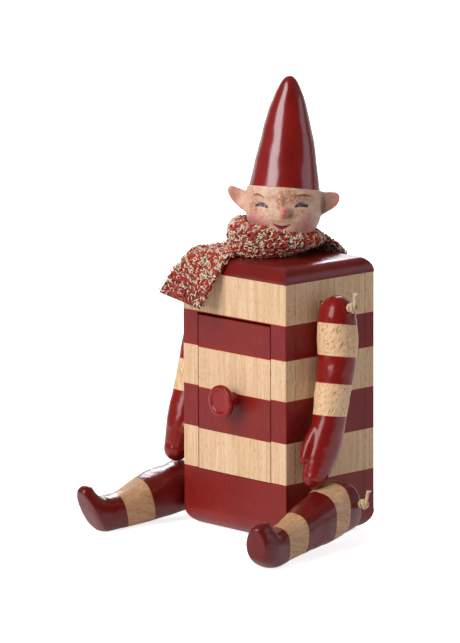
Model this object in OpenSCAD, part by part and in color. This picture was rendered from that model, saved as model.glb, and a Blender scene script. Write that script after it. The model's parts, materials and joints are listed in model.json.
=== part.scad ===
// A wooden elf: a striped box body with a drawer, a painted head under a tall
// hat, a knitted scarf, and carved arms and legs strung on two cords.
// Millimetres. +X is the elf's own left, -Y is the front, +Z is up.
// The origin is on the ground under the middle of the box.

/* [Box] */
// Width of the box
box_w = 75; // [70:1:90]
// Depth of the box, front to back
box_d = 62; // [58:1:80]
// Height of the box
box_h = 140; // [130:1:160]
// Thickness of the front, back and side boards
board_t = 6.5; // [5:0.5:8]
// Thickness of the lid board
lid_t = 8; // [8:0.5:12]
// Radius of the lid's rounded edges
lid_edge_r = 7.8; // [3:0.2:7.8]
// Thickness of the base board
base_t = 10; // [10:0.5:14]
// Radius of the base's rounded edges
base_edge_r = 9.5; // [3:0.5:9.5]

/* [Drawer] */
// Width of the drawer front
drawer_w = 52.4; // [44:0.2:56]
// Height of the drawer opening's lower edge above the ground
opening_z = 30.2; // [28:0.1:34]
// Height of the front board's rail over the opening
rail_h = 21; // [18:0.5:40]
// Gap at each side of the drawer front
drawer_side_gap = 0.5; // [0.3:0.1:1]
// Gap under the drawer
drawer_bottom_gap = 0.3; // [0.1:0.1:0.5]
// Gap over the drawer front
drawer_top_gap = 1.2; // [0.5:0.1:2]
// How far the drawer's sides and back stay below the top of its front
drawer_side_drop = 5.3; // [3:0.1:40]
// Thickness of the drawer's sides and back
drawer_wall_t = 4; // [3:0.5:5]
// Thickness of the drawer's bottom board
drawer_bottom_t = 3; // [2:0.5:4]
// Thickness of the shelf under the drawer and of the divider over it
shelf_t = 3; // [2:0.5:4]
// Height of the guide strips beside the drawer
guide_h = 8; // [5:1:20]
// Clearance between the drawer and its guides
guide_gap = 0.2; // [0.1:0.05:0.4]
// Clearance between the shut drawer and the back board
drawer_back_gap = 0.3; // [0.2:0.1:1]

/* [Knob] */
// Diameter of the knob's head
knob_d = 16.5; // [12:0.5:22]
// How far the knob stands out of the drawer front
knob_out = 10.5; // [9:0.5:14]
// Thickness of the knob's head
knob_head_t = 4.2; // [3:0.2:6]
// Diameter of the knob's foot on the drawer front
knob_foot_d = 7; // [6:0.2:10]
// Diameter of the knob's neck
knob_neck_d = 5.8; // [5:0.2:8]
// Width of the raised ring on the knob's face
knob_ring_w = 2.6; // [1:0.2:4]

/* [Screws] */
// Diameter of both wood screws
screw_d = 2.8; // [2:0.2:3.4]
// Diameter of a screw's head
screw_head_d = 5.6; // [4:0.2:7]
// Height of a screw's head
screw_head_h = 1.6; // [1:0.1:2.5]
// Depth of the knob screw inside the knob
knob_screw_grip = 7; // [4:0.5:8]
// Depth of the neck screw inside the neck peg
neck_screw_grip = 9; // [5:1:14]
// Diameter of the washer under the lid
washer_d = 14; // [11:0.5:18]
// Thickness of the washer under the lid
washer_t = 1.2; // [0.8:0.1:2]

/* [Head] */
// How far behind the box's middle the neck stands
neck_y = 2.4; // [0:0.2:5]
// Diameter of the neck peg
neck_peg_d = 8; // [6:0.5:10]
// Length of the neck peg inside the head
neck_peg_grip = 13; // [8:1:18]
// Radial clearance of the neck peg in the lid's hole
neck_peg_gap = 0.08; // [0.02:0.01:0.1]
// Turn of the face from the front towards the elf's left, in degrees
head_turn = 43; // [0:1:60]
// Lean of the head towards its own left, in degrees
head_lean = 2.7; // [0:0.1:4]
// Half the width of the head
head_r = 19.2; // [17:0.1:19.4]
// Height of the head from the neck's foot to the hat's brim
head_h = 32.8; // [32:0.1:38]
// Tilt of the hat's brim, higher over the forehead, in degrees
brim_tilt = 10; // [0:1:12]
// Radius of the nose
nose_r = 2.4; // [1.5:0.1:3]
// Height of the nose above the neck's foot
nose_h = 24.2; // [22:0.2:28]
// How far the nose's tip stands towards the elf's left
nose_side = 1.5; // [0:0.1:2]
// Reach of the left ear from the middle of the head
left_ear_reach = 28.2; // [24:0.2:30]
// Reach of the right ear from the middle of the head
right_ear_reach = 30.8; // [24:0.2:31]
// Thickness of each ear at its rim
ear_t = 2.4; // [2:0.1:3.5]

/* [Hat] */
// Radius of the hat at its brim
hat_r = 17.9; // [15:0.1:19]
// Height of the hat
hat_h = 56.6; // [40:0.2:80]
// Diameter of the spigot that the hat is glued on
spigot_d = 14; // [8:0.5:18]
// Height of that spigot
spigot_h = 9; // [5:0.5:14]

/* [Scarf] */
// Thickness of the knitted strip
scarf_t = 3; // [2:0.2:3.2]
// Distance from the neck to the middle of the wrapped roll
wrap_r = 21; // [20.6:0.1:22]
// Half the thickness of the wrapped roll over the jaw
wrap_half_t = 4.8; // [4:0.1:5]
// Clearance between the roll and the neck
wrap_gap = 1.8; // [1.8:0.1:2.4]
// Half the height of the wrapped roll
wrap_half_h = 7.2; // [6:0.1:7.6]
// How much higher the roll is at its highest place
wrap_rise = 1.2; // [0:0.1:1.6]
// How much further out the roll lies at that place
wrap_bulge = 2; // [0:0.1:2]
// Direction of that place, from the elf's left towards its back, in degrees
wrap_high_at = 227; // [200:1:250]

/* [Cords] */
// Diameter of the cords
cord_d = 1.8; // [1.4:0.1:2.4]
// Diameter of the holes that the cords run through
cord_hole_d = 2.6; // [2.6:0.1:3.4]
// Diameter of the knots
knot_d = 5; // [4:0.1:6]
// Length of each cord's tail outside its knot
tail_l = 8; // [4:0.5:12]

/* [Arms] */
// Depth of the shoulder cord under the top of the box
shoulder_drop = 19.5; // [16:0.5:22]
// How far in front of the box's middle the shoulder cord runs
shoulder_front = 6; // [0:0.5:10]
// Radius of the upper arm
arm_r = 10.2; // [8:0.1:10.5]
// How much further forward the right arm hangs, in degrees
right_arm_swing = 0.5; // [0:0.5:4]
// Outward lean of the right arm, in degrees
right_arm_lean = 2.5; // [0:0.5:4]

/* [Legs] */
// Height of the hip cord
hip_z = 21; // [20.8:0.1:22]
// How far in front of the box's middle the hip cord runs
hip_front = 5.5; // [0:0.5:8]
// Radius of the thigh
leg_r = 13.1; // [11:0.1:13.2]
// Length of each leg from its cord to its toe
leg_l = 80; // [60:1:90]
// Outward turn of the left leg, in degrees
left_splay = 12.5; // [0:0.5:14]
// Outward turn of the right leg, in degrees
right_splay = 1.5; // [0:0.5:14]
// Clearance between each limb and the box
limb_gap = 0.7; // [0.4:0.1:2]

/* [Hidden] */
$fn = 64;

// Colours
paint_red = "#7a1f1c";
hat_red = "#8c1a14";
beech = "#d9b98c";
plain_wood = "#caa878";
skin = "#d8ad8c";
knit = "#b8695a";
cotton = "#b99a6b";
steel = "#9a9a98";

// Box
side_x = box_w / 2;
front_y = -box_d / 2;
back_y = box_d / 2;
inner_x = side_x - board_t;
inner_d = box_d - 2 * board_t;
wall_z = base_t;
wall_h = box_h - lid_t - base_t;
slack = 1; // how far a cutting shape runs past what it cuts

// Drawer
opening_w = drawer_w + 2 * drawer_side_gap;
opening_h = box_h - lid_t - rail_h - opening_z;
drawer_front_h = opening_h - drawer_bottom_gap - drawer_top_gap;
drawer_side_h = drawer_front_h - drawer_side_drop;
drawer_z = opening_z + drawer_bottom_gap;
drawer_box_y = front_y + board_t;
drawer_box_l = inner_d - drawer_back_gap;
drawer_inner_w = drawer_w - 2 * drawer_wall_t;
knob_z = drawer_z + drawer_front_h / 2;
guide_w = inner_x - drawer_w / 2 - guide_gap;

// Screws
screw_hole_gap = 0.1;
knob_screw_l = board_t + knob_screw_grip;

// Head
seat_gap = 0.3; // the head's and the scarf's clearance over the lid
knot_gap = 0.5; // the knots' clearance over the limbs
washer_gap = 0.2;
neck_peg_foot = box_h - lid_t - washer_gap;
neck_peg_l = lid_t + washer_gap + seat_gap + neck_peg_grip;
glue_gap = 0.05;
ear_hollow_r = 6.6;

// Limbs
shoulder_z = box_h - shoulder_drop;
arm_x = side_x + limb_gap + arm_r;
leg_x = side_x + limb_gap + leg_r;
limb_sides = 20;
row_steps = 3;
cap_steps = 5;

// Arm from shoulder to hand, for an upper arm of radius 1:
// [back, up, half depth, half width]
arm_rows = [
    [0, -7, 0.94, 0.94], [0.3, -17, 1, 1], [0.1, -26.5, 0.94, 0.96],
    [-1.6, -36, 0.91, 0.92], [-3.6, -46, 0.86, 0.87], [-5.4, -56, 0.83, 0.8],
    [-7.6, -64.5, 0.91, 0.75], [-10.2, -72, 0.9, 0.7], [-13.2, -79, 0.8, 0.63],
    [-16, -85, 0.63, 0.54]
];
shoulder_cap = 12.2;
fingertip_cap = [4.6, 6.6]; // left and right
// Each thumb from its root to its tip: [inward, back, up, radius]
left_thumb_rows = [[1.5, -12.8, -62, 4], [2.2, -17.3, -69, 3.8], [2.4, -20, -75.2, 3.1]];
right_thumb_rows = [[4, -9, -60, 4], [5.5, -12.6, -67, 3.8], [6, -15.4, -73, 3.1]];

// Each leg from hip to toe, for a thigh of radius 1:
// [back, up, half depth, half width]
left_leg_rows = [
    [-2, -1.5, 0.99, 0.97], [-10, -2.3, 0.98, 0.98], [-17.1, -4.1, 0.94, 0.96],
    [-26, -5.7, 0.9, 0.92], [-36.5, -7.7, 0.79, 0.81], [-46, -9.6, 0.7, 0.72],
    [-54.7, -11, 0.65, 0.65], [-61, -12, 0.66, 0.6], [-66.5, -11.9, 0.67, 0.57],
    [-71.5, -9.9, 0.63, 0.53], [-75, -6.1, 0.52, 0.48], [-77, -2.2, 0.39, 0.4],
    [-77.8, 0.5, 0.29, 0.31]
];
right_leg_rows = [
    [-2, -2.1, 0.96, 0.96], [-10, -3.3, 0.96, 0.97], [-17.8, -5.3, 0.94, 0.96],
    [-25.8, -6.2, 0.96, 0.94], [-35.6, -7.7, 0.93, 0.86], [-45.8, -10, 0.81, 0.77],
    [-53, -11.4, 0.72, 0.7], [-60, -12, 0.66, 0.63], [-66, -11.9, 0.67, 0.59],
    [-71, -10.1, 0.64, 0.54], [-75, -6.2, 0.53, 0.48], [-77.3, -2.2, 0.39, 0.4],
    [-78.3, 0.6, 0.28, 0.31]
];
hip_cap = 7.5;
toe_cap = 3.2;
// The rows are drawn for one size; these bring them to the sizes above.
// The heel stands on the ground, whatever the cord's height and the leg's radius
heel_row = left_leg_rows[7];
toe_row = left_leg_rows[len(left_leg_rows) - 1];
leg_k = (hip_z - 0.67 * leg_r) / (-1.0183 * heel_row[1]);
leg_forward_k = leg_l / (-1.0283 * toe_row[0]);
// The hands come down to the thighs
thigh_row = left_leg_rows[1];
arm_l = shoulder_z - hip_z - leg_r * thigh_row[2] - leg_k * thigh_row[1];
arm_k = arm_l / (-1.0471 * arm_rows[len(arm_rows) - 1][1]);

// Head from the neck's foot to the brim, for a head of radius 1:
// [back, up, half depth, half width]
head_rows = [
    [0, 0, 0.44, 0.44], [0, 3.6, 0.45, 0.45], [0, 6, 0.5, 0.51],
    [0, 8, 0.6, 0.61], [0, 10, 0.72, 0.73], [0, 12, 0.81, 0.83],
    [0, 14, 0.87, 0.89], [0, 17, 0.94, 0.96], [0, 21, 0.99, 1],
    [0, 27, 1, 1], [0, 33.2, 0.98, 0.99], [0, 39, 0.95, 0.96]
];
// The leaning neck's foot clears the lid all round
head_foot_z = box_h + seat_gap + head_r * head_rows[0][2] * sin(head_lean);

// Scarf: stations of its two ends, each [right edge, left edge],
// and each edge [x, y, z] over the lid, first from the neck and then from the
// box's front or back edge
front_end_start = [
    [[-25, 0.6, 4], [-17, -1.4, 4]],
    [[-28.5, -7.4, 2.7], [-14, -9.4, 2.7]],
    [[-32, -14.4, 2.2], [-9.5, -17.4, 2.1]]
];
front_end_drop = [
    [[-33.6, 12, 2], [-7.2, 9.5, 2]],
    [[-34, 5, 1.8], [-6.8, 3.8, 1.2]],
    [[-34.4, -0.2, -1.2], [-7.2, -0.8, -2.5]],
    [[-34.9, -5, -5.4], [-8, -4.4, -8.2]],
    [[-35.8, -10.4, -10.4], [-9, -8.8, -15]],
    [[-37.2, -16, -18.4], [-10.8, -13.4, -24]]
];
back_end_start = [
    [[-4, 18.6, 4], [8, 17.1, 4]],
    [[-8, 21.8, 2.6], [13, 20.8, 2.6]]
];
back_end_drop = [
    [[-10.5, -3, 1.4], [16, -3.6, 1.8]],
    [[-11, 1, -2.2], [17, 0.8, -1.8]],
    [[-11, 3.4, -9], [17, 3.4, -9]],
    [[-11.2, 3.6, -16], [16.8, 3.6, -16]],
    [[-11.5, 3.2, -22.5], [16.5, 3.4, -22.5]]
];
wrap_steps = 36;
wrap_sides = 12;

// Hat: a paraboloid whose middle line bends back from the tilted brim
hat_rings = 14;
hat_bend = tan(brim_tilt) * hat_h / 2;
brim_cut = 2; // how far the hat's loft starts below the brim, where it is cut

// Lofts
// One row between p1 and p2 on a smooth curve through p0, p1, p2 and p3
function curve_row(p0, p1, p2, p3, t) = 0.5 * (
    2 * p1 + (p2 - p0) * t
    + (2 * p0 - 5 * p1 + 4 * p2 - p3) * t * t
    + (3 * p1 - p0 - 3 * p2 + p3) * t * t * t
);

function smooth_rows(rows, steps) = [
    for (i = [0 : len(rows) - 2], j = [0 : steps - 1])
        curve_row(
            rows[max(i - 1, 0)], rows[i], rows[i + 1],
            rows[min(i + 2, len(rows) - 1)], j / steps
        ),
    rows[len(rows) - 1]
];

// Rows with their places multiplied by back and up, and their half sizes by r
function sized_rows(rows, back, up, r) =
    [for (p = rows) [p[0] * back, p[1] * up, p[2] * r, p[3] * r]];

// Direction from row a to row b in the YZ plane
function row_dir(a, b) = let (d = [b[0] - a[0], b[1] - a[1]]) d / norm(d);

// Rows of an elliptical dome of the given depth, outwards from row p along dir
function dome_rows(p, dir, depth, steps) = [
    for (j = [1 : steps - 1]) let (a = 90 * j / steps)
        [p[0] + dir[0] * depth * sin(a), p[1] + dir[1] * depth * sin(a),
         p[2] * cos(a), p[3] * cos(a)]
];

function reversed(list) = [for (i = [len(list) - 1 : -1 : 0]) list[i]];

// Direction of the middle line at row i
function rows_dir(rows, i) = row_dir(rows[max(i - 1, 0)], rows[min(i + 1, len(rows) - 1)]);

function ring_points(p, dir, sides) = [
    for (k = [0 : sides - 1]) let (a = 360 * k / sides)
        [p[3] * sin(a), p[0] - dir[1] * p[2] * cos(a), p[1] + dir[0] * p[2] * cos(a)]
];

// Triangles of a closed tube of rings whose first and last points are poles
function tube_faces(rings, sides) = let (last = rings * sides + 1) concat(
    [for (k = [0 : sides - 1]) [0, 1 + k, 1 + (k + 1) % sides]],
    [for (i = [0 : rings - 2], k = [0 : sides - 1]) let (
        a = 1 + i * sides + k, b = 1 + i * sides + (k + 1) % sides
    ) each [[a, a + sides, b], [b, a + sides, b + sides]]],
    [for (k = [0 : sides - 1]) let (first = 1 + (rings - 1) * sides)
        [last, first + (k + 1) % sides, first + k]]
);

// A solid through rows of [back, up, half depth, half width], closed by poles
module loft(rows, start_pole, end_pole, sides) {
    points = concat(
        [[0, start_pole[0], start_pole[1]]],
        [for (i = [0 : len(rows) - 1]) each ring_points(rows[i], rows_dir(rows, i), sides)],
        [[0, end_pole[0], end_pole[1]]]
    );
    polyhedron(points = points, faces = tube_faces(len(rows), sides));
}

// A limb: smooth rows with a dome at each end
module limb(rows, start_cap, end_cap) {
    body = smooth_rows(rows, row_steps);
    n = len(body);
    start_dir = row_dir(body[1], body[0]);
    end_dir = row_dir(body[n - 2], body[n - 1]);
    loft(
        concat(
            reversed(dome_rows(body[0], start_dir, start_cap, cap_steps)),
            body,
            dome_rows(body[n - 1], end_dir, end_cap, cap_steps)
        ),
        [body[0][0], body[0][1]] + start_dir * start_cap,
        [body[n - 1][0], body[n - 1][1]] + end_dir * end_cap,
        limb_sides
    );
}

// A cylinder along X through a limb or a side board
module cross_hole(d, l) {
    rotate([0, 90, 0]) cylinder(d = d, h = l, center = true, $fn = 24);
}

// What an outline loses at a rounded corner that lies at the origin
module corner_cut(r) {
    difference() {
        translate([-r, -r]) square(r + slack);
        translate([-r, -r]) circle(r);
    }
}

// A board standing on z = 0 with its upper edge rounded on all four sides
module rounded_board(w, d, t, r) {
    intersection() {
        rotate([90, 0, 0]) linear_extrude(height = d, center = true) rounded_outline(w, t, r);
        rotate([90, 0, 90]) linear_extrude(height = w, center = true) rounded_outline(d, t, r);
    }
}

module rounded_outline(w, t, r) {
    difference() {
        translate([-w / 2, 0]) square([w, t]);
        translate([w / 2, t]) corner_cut(r);
        mirror([1, 0]) translate([w / 2, t]) corner_cut(r);
    }
}

module base_board() {
    color(paint_red)
    translate([0, 0, base_t]) mirror([0, 0, 1]) rounded_board(box_w, box_d, base_t, base_edge_r);
}

module lid_board() {
    color(paint_red)
    difference() {
        translate([0, 0, box_h - lid_t]) rounded_board(box_w, box_d, lid_t, lid_edge_r);
        translate([0, neck_y, box_h - lid_t - slack])
            cylinder(r = neck_peg_d / 2 + neck_peg_gap, h = lid_t + 2 * slack);
    }
}

module front_board() {
    color(beech)
    difference() {
        translate([-side_x, front_y, wall_z]) cube([box_w, board_t, wall_h]);
        translate([-opening_w / 2, front_y - slack, opening_z])
            cube([opening_w, board_t + 2 * slack, opening_h]);
    }
}

module back_board() {
    color(beech)
    translate([-side_x, back_y - board_t, wall_z]) cube([box_w, board_t, wall_h]);
}

// The side board on the left; the right one is its mirror image
module side_board() {
    color(beech)
    difference() {
        translate([inner_x, -inner_d / 2, wall_z]) cube([board_t, inner_d, wall_h]);
        translate([side_x, -shoulder_front, shoulder_z]) cross_hole(cord_hole_d, 2 * board_t + slack);
        translate([side_x, -hip_front, hip_z]) cross_hole(cord_hole_d, 2 * board_t + slack);
    }
}

module left_side_board() {
    side_board();
}

module right_side_board() {
    mirror([1, 0, 0]) side_board();
}

module shelf_board(z) {
    color(plain_wood)
    translate([-inner_x, -inner_d / 2, z]) cube([2 * inner_x, inner_d, shelf_t]);
}

module drawer_shelf() {
    shelf_board(opening_z - shelf_t);
}

module drawer_divider() {
    shelf_board(opening_z + opening_h);
}

module left_guide() {
    color(plain_wood)
    translate([inner_x - guide_w, -inner_d / 2, opening_z]) cube([guide_w, inner_d, guide_h]);
}

module right_guide() {
    mirror([1, 0, 0]) left_guide();
}

// Drawer
module drawer_front() {
    color(paint_red)
    difference() {
        translate([-drawer_w / 2, front_y, drawer_z]) cube([drawer_w, board_t, drawer_front_h]);
        translate([0, front_y + board_t + slack, knob_z]) rotate([90, 0, 0])
            cylinder(d = screw_d + 2 * screw_hole_gap, h = board_t + 2 * slack, $fn = 24);
    }
}

module drawer_left_side() {
    color(plain_wood)
    translate([drawer_inner_w / 2, drawer_box_y, drawer_z])
        cube([drawer_wall_t, drawer_box_l, drawer_side_h]);
}

module drawer_right_side() {
    mirror([1, 0, 0]) drawer_left_side();
}

module drawer_back() {
    color(plain_wood)
    translate([-drawer_inner_w / 2, drawer_box_y + drawer_box_l - drawer_wall_t, drawer_z])
        cube([drawer_inner_w, drawer_wall_t, drawer_side_h]);
}

module drawer_bottom() {
    color(plain_wood)
    translate([-drawer_inner_w / 2, drawer_box_y, drawer_z])
        cube([drawer_inner_w, drawer_box_l - drawer_wall_t, drawer_bottom_t]);
}

// The knob's outline from its foot outwards: [radius, height]
module knob_outline() {
    r = knob_d / 2;
    head_foot = knob_out - knob_head_t;
    ring_in = r - knob_ring_w;
    edge_r = 1;
    difference() {
        union() {
            polygon([
                [0, 0], [knob_foot_d / 2, 0], [knob_foot_d / 2, 0.8],
                [knob_neck_d / 2, 2.4], [knob_neck_d / 2, head_foot - 2],
                [r * 0.72, head_foot], [r, head_foot + 1.4], [r, knob_out - edge_r],
                [r - edge_r, knob_out], [0, knob_out]
            ]);
            translate([r - edge_r, knob_out - edge_r]) intersection() {
                circle(edge_r);
                square(edge_r);
            }
        }
        // the shallow dish inside the raised ring
        translate([0, knob_out - 0.6]) square([ring_in, 0.6 + slack]);
    }
}

module knob() {
    color(hat_red)
    translate([0, front_y, knob_z]) rotate([90, 0, 0])
    difference() {
        rotate_extrude() knob_outline();
        translate([0, 0, -slack])
            cylinder(d = screw_d + 2 * glue_gap, h = knob_screw_grip + slack + seat_gap, $fn = 24);
    }
}

// A screw that stands on its head's underside at z = 0 and points up
module wood_screw(l) {
    color(steel) {
        cylinder(d = screw_d, h = l, $fn = 24);
        translate([0, 0, -screw_head_h]) cylinder(d = screw_head_d, h = screw_head_h, $fn = 32);
    }
}

module knob_screw() {
    translate([0, front_y + board_t, knob_z]) rotate([90, 0, 0]) wood_screw(knob_screw_l);
}

// Head: parts are built upright on the neck's foot, then leaned and turned
module head_place() {
    translate([0, neck_y, head_foot_z])
    rotate([0, 0, head_turn]) rotate([0, head_lean, 0]) children();
}

// The space from the tilted brim upwards, or downwards for a negative h
module above_brim(h) {
    translate([0, 0, head_h]) rotate([-brim_tilt, 0, 0])
        translate([0, 0, h / 2]) cube([4 * head_r, 4 * head_r, abs(h)], center = true);
}

// An ear on the left of the head: a blunt leaf with a hollow in its front
module ear(reach) {
    ear_r = ear_t / 2;
    root = head_r - 3;
    difference() {
        hull() {
            translate([root, 0, nose_h - 5.6]) sphere(ear_r, $fn = 16);
            translate([root, 0, nose_h + 6.4]) sphere(ear_r, $fn = 16);
            translate([reach - 2.6, 1.5, nose_h + 7.2]) sphere(ear_r, $fn = 16);
            translate([reach - ear_r, 1.6, nose_h + 3.9]) sphere(ear_r, $fn = 16);
            translate([reach - 5.5, 0.8, nose_h - 2.1]) sphere(ear_r, $fn = 16);
        }
        translate([reach - 6, -ear_hollow_r + 0.2, nose_h + 2.6]) sphere(ear_hollow_r, $fn = 32);
    }
}

module head() {
    rows = smooth_rows(sized_rows(head_rows, 1, 1, head_r), 2);
    color(skin)
    difference() {
        head_place() {
            difference() {
                loft(rows, [0, 0], [0, rows[len(rows) - 1][1]], 28);
                above_brim(20);
            }
            translate([0, 0, head_h - slack]) rotate([-brim_tilt, 0, 0])
                cylinder(d = spigot_d, h = spigot_h + slack);
            translate([nose_side, -head_r + 0.4, nose_h]) sphere(nose_r, $fn = 24);
            ear(left_ear_reach);
            mirror([1, 0, 0]) ear(right_ear_reach);
        }
        translate([0, neck_y, box_h + seat_gap - slack])
            cylinder(r = neck_peg_d / 2 + glue_gap, h = neck_peg_grip + slack + glue_gap);
    }
}

function hat_row(t) = let (r = hat_r * sqrt(1 - t))
    [hat_bend * (2 * t - t * t), head_h + hat_h * t, r, r];

module hat() {
    foot = hat_row(-brim_cut / hat_h);
    rows = concat(
        [foot],
        [for (i = [0 : hat_rings - 1]) let (u = (i + 0.5) / hat_rings) hat_row(u * (2 - u))]
    );
    color(hat_red)
    head_place() difference() {
        loft(rows, [foot[0], foot[1]], [hat_bend, head_h + hat_h], 36);
        above_brim(-2 * brim_cut);
        translate([0, 0, head_h - slack]) rotate([-brim_tilt, 0, 0])
            cylinder(r = spigot_d / 2 + glue_gap, h = spigot_h + slack + glue_gap);
    }
}

module neck_peg() {
    color(plain_wood)
    translate([0, neck_y, neck_peg_foot]) difference() {
        cylinder(d = neck_peg_d, h = neck_peg_l);
        translate([0, 0, -slack])
            cylinder(d = screw_d + 2 * glue_gap, h = neck_screw_grip + slack + seat_gap, $fn = 24);
    }
}

module neck_washer() {
    color(steel)
    translate([0, neck_y, neck_peg_foot - washer_t]) difference() {
        cylinder(d = washer_d, h = washer_t);
        translate([0, 0, -slack]) cylinder(d = screw_d + 2 * screw_hole_gap, h = washer_t + 2 * slack, $fn = 24);
    }
}

module neck_screw() {
    translate([0, neck_y, neck_peg_foot - washer_t]) wood_screw(washer_t + neck_screw_grip);
}

// Limbs, each built about its cord on the left of the box
module arm(swing, lean, tip, thumb_rows) {
    color(paint_red)
    translate([arm_x, -shoulder_front, shoulder_z]) difference() {
        rotate([-swing, -lean, 0]) union() {
            limb(sized_rows(arm_rows, arm_k, arm_k, arm_r), shoulder_cap, tip);
            hull() for (p = thumb_rows)
                translate([-p[0], p[1] * arm_k, p[2] * arm_k]) sphere(p[3], $fn = 20);
        }
        cross_hole(cord_hole_d, 3 * arm_r);
    }
}

module left_arm() {
    arm(0, 0, fingertip_cap[0], left_thumb_rows);
}

module right_arm() {
    mirror([1, 0, 0])
        arm(right_arm_swing, right_arm_lean, fingertip_cap[1], right_thumb_rows);
}

module leg(rows, splay) {
    color(paint_red)
    translate([leg_x, -hip_front, hip_z]) difference() {
        rotate([0, 0, splay])
            limb(sized_rows(rows, leg_forward_k, leg_k, leg_r), hip_cap, toe_cap);
        cross_hole(cord_hole_d, 3 * leg_r);
    }
}

module left_leg() {
    leg(left_leg_rows, left_splay);
}

module right_leg() {
    mirror([1, 0, 0]) leg(right_leg_rows, right_splay);
}

// A cord through the box and two limbs, with a knot and a tail at each end
module strung_cord(knot_x, tail_lean) {
    color(cotton) {
        rotate([0, 90, 0]) cylinder(d = cord_d, h = 2 * knot_x, center = true, $fn = 16);
        for (side = [0, 1]) mirror([side, 0, 0]) translate([knot_x, 0, 0]) {
            sphere(d = knot_d, $fn = 24);
            rotate(tail_lean) cylinder(d = cord_d, h = tail_l, $fn = 16);
        }
    }
}

// Half the width of each limb at its cord
arm_at_cord = arm_r * arm_rows[0][3] * cos(asin(arm_rows[0][1] / shoulder_cap));
leg_at_cord = leg_r / cos(left_splay);

module shoulder_cord() {
    translate([0, -shoulder_front, shoulder_z])
        strung_cord(arm_x + arm_at_cord + knot_gap + knot_d / 2, [-12, 2, 0]);
}

module hip_cord() {
    translate([0, -hip_front, hip_z])
        strung_cord(leg_x + leg_at_cord + knot_gap + knot_d / 2, [-8, 16, 0]);
}

// Scarf
module scarf() {
    color(knit) {
        scarf_wrap();
        scarf_front_end();
        scarf_back_end();
    }
}

// The roll is higher and wider where the front end comes out from under it
function wrap_h(a) = wrap_half_h + wrap_rise * cos(a - wrap_high_at);

// Radius of the neck and jaw, with the roll's clearance, at a height over the lid
function neck_side(z) = wrap_gap
    + head_r * lookup(z + box_h - head_foot_z, [for (p = head_rows) [p[1], p[3]]]);

// Point k of the roll's outline at the angle a: outside it is half an ellipse,
// inside it follows the neck and jaw
function wrap_point(a, k) = let (
    b = 360 * k / wrap_sides,
    h = wrap_h(a),
    z = seat_gap + h + h * sin(b),
    round_r = wrap_r + wrap_bulge * cos(a - wrap_high_at) + wrap_half_t * cos(b),
    r = b > 90 && b < 270 ? min(round_r, neck_side(z)) : round_r
) [r * cos(a), neck_y + r * sin(a), box_h + z];

module scarf_wrap() {
    points = [
        for (i = [0 : wrap_steps - 1], k = [0 : wrap_sides - 1])
            wrap_point(360 * i / wrap_steps, k)
    ];
    faces = [
        for (i = [0 : wrap_steps - 1], k = [0 : wrap_sides - 1]) let (
            j = (i + 1) % wrap_steps, m = (k + 1) % wrap_sides,
            a = i * wrap_sides + k, b = i * wrap_sides + m,
            c = j * wrap_sides + k, d = j * wrap_sides + m
        ) each [[a, b, c], [c, b, d]]
    ];
    polyhedron(points = points, faces = faces);
}

// Outline of the strip between its two edges, half its thickness to each side
function strip_ring(a, b, side) = let (across = 0.09 * (b - a), up = side * scarf_t / 2) [
    a, a + across + up, (a + b) / 2 + up, b - across + up,
    b, b - across - up, (a + b) / 2 - up, a + across - up
];

// Unit normal of the strip at station i
function strip_side(rows, i) = let (
    p = rows[max(i - 1, 0)],
    q = rows[min(i + 1, len(rows) - 1)],
    n = cross(rows[i][1] - rows[i][0], q[0] + q[1] - p[0] - p[1])
) n / norm(n);

// A knitted strip through stations of [right edge, left edge]
module strip(rows) {
    n = len(rows);
    points = concat(
        [(rows[0][0] + rows[0][1]) / 2],
        [for (i = [0 : n - 1]) each strip_ring(rows[i][0], rows[i][1], strip_side(rows, i))],
        [(rows[n - 1][0] + rows[n - 1][1]) / 2]
    );
    polyhedron(points = points, faces = tube_faces(n, 8));
}

// Stations moved to a place over the lid
function over_lid(rows, y) =
    [for (p = rows) [p[0] + [0, y, box_h], p[1] + [0, y, box_h]]];

module scarf_front_end() {
    strip(smooth_rows(
        concat(over_lid(front_end_start, neck_y), over_lid(front_end_drop, front_y)), 2
    ));
}

module scarf_back_end() {
    strip(smooth_rows(
        concat(over_lid(back_end_start, neck_y), over_lid(back_end_drop, back_y)), 2
    ));
}

base_board();
lid_board();
front_board();
back_board();
left_side_board();
right_side_board();
drawer_shelf();
drawer_divider();
left_guide();
right_guide();
scarf();
shoulder_cord();
hip_cord();
drawer_front();
drawer_left_side();
drawer_right_side();
drawer_back();
drawer_bottom();
knob();
knob_screw();
head();
hat();
neck_peg();
neck_washer();
neck_screw();
left_arm();
right_arm();
left_leg();
right_leg();
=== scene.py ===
import json
import math
import random

import bmesh
import bpy
from mathutils import Matrix, Vector, noise

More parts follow.
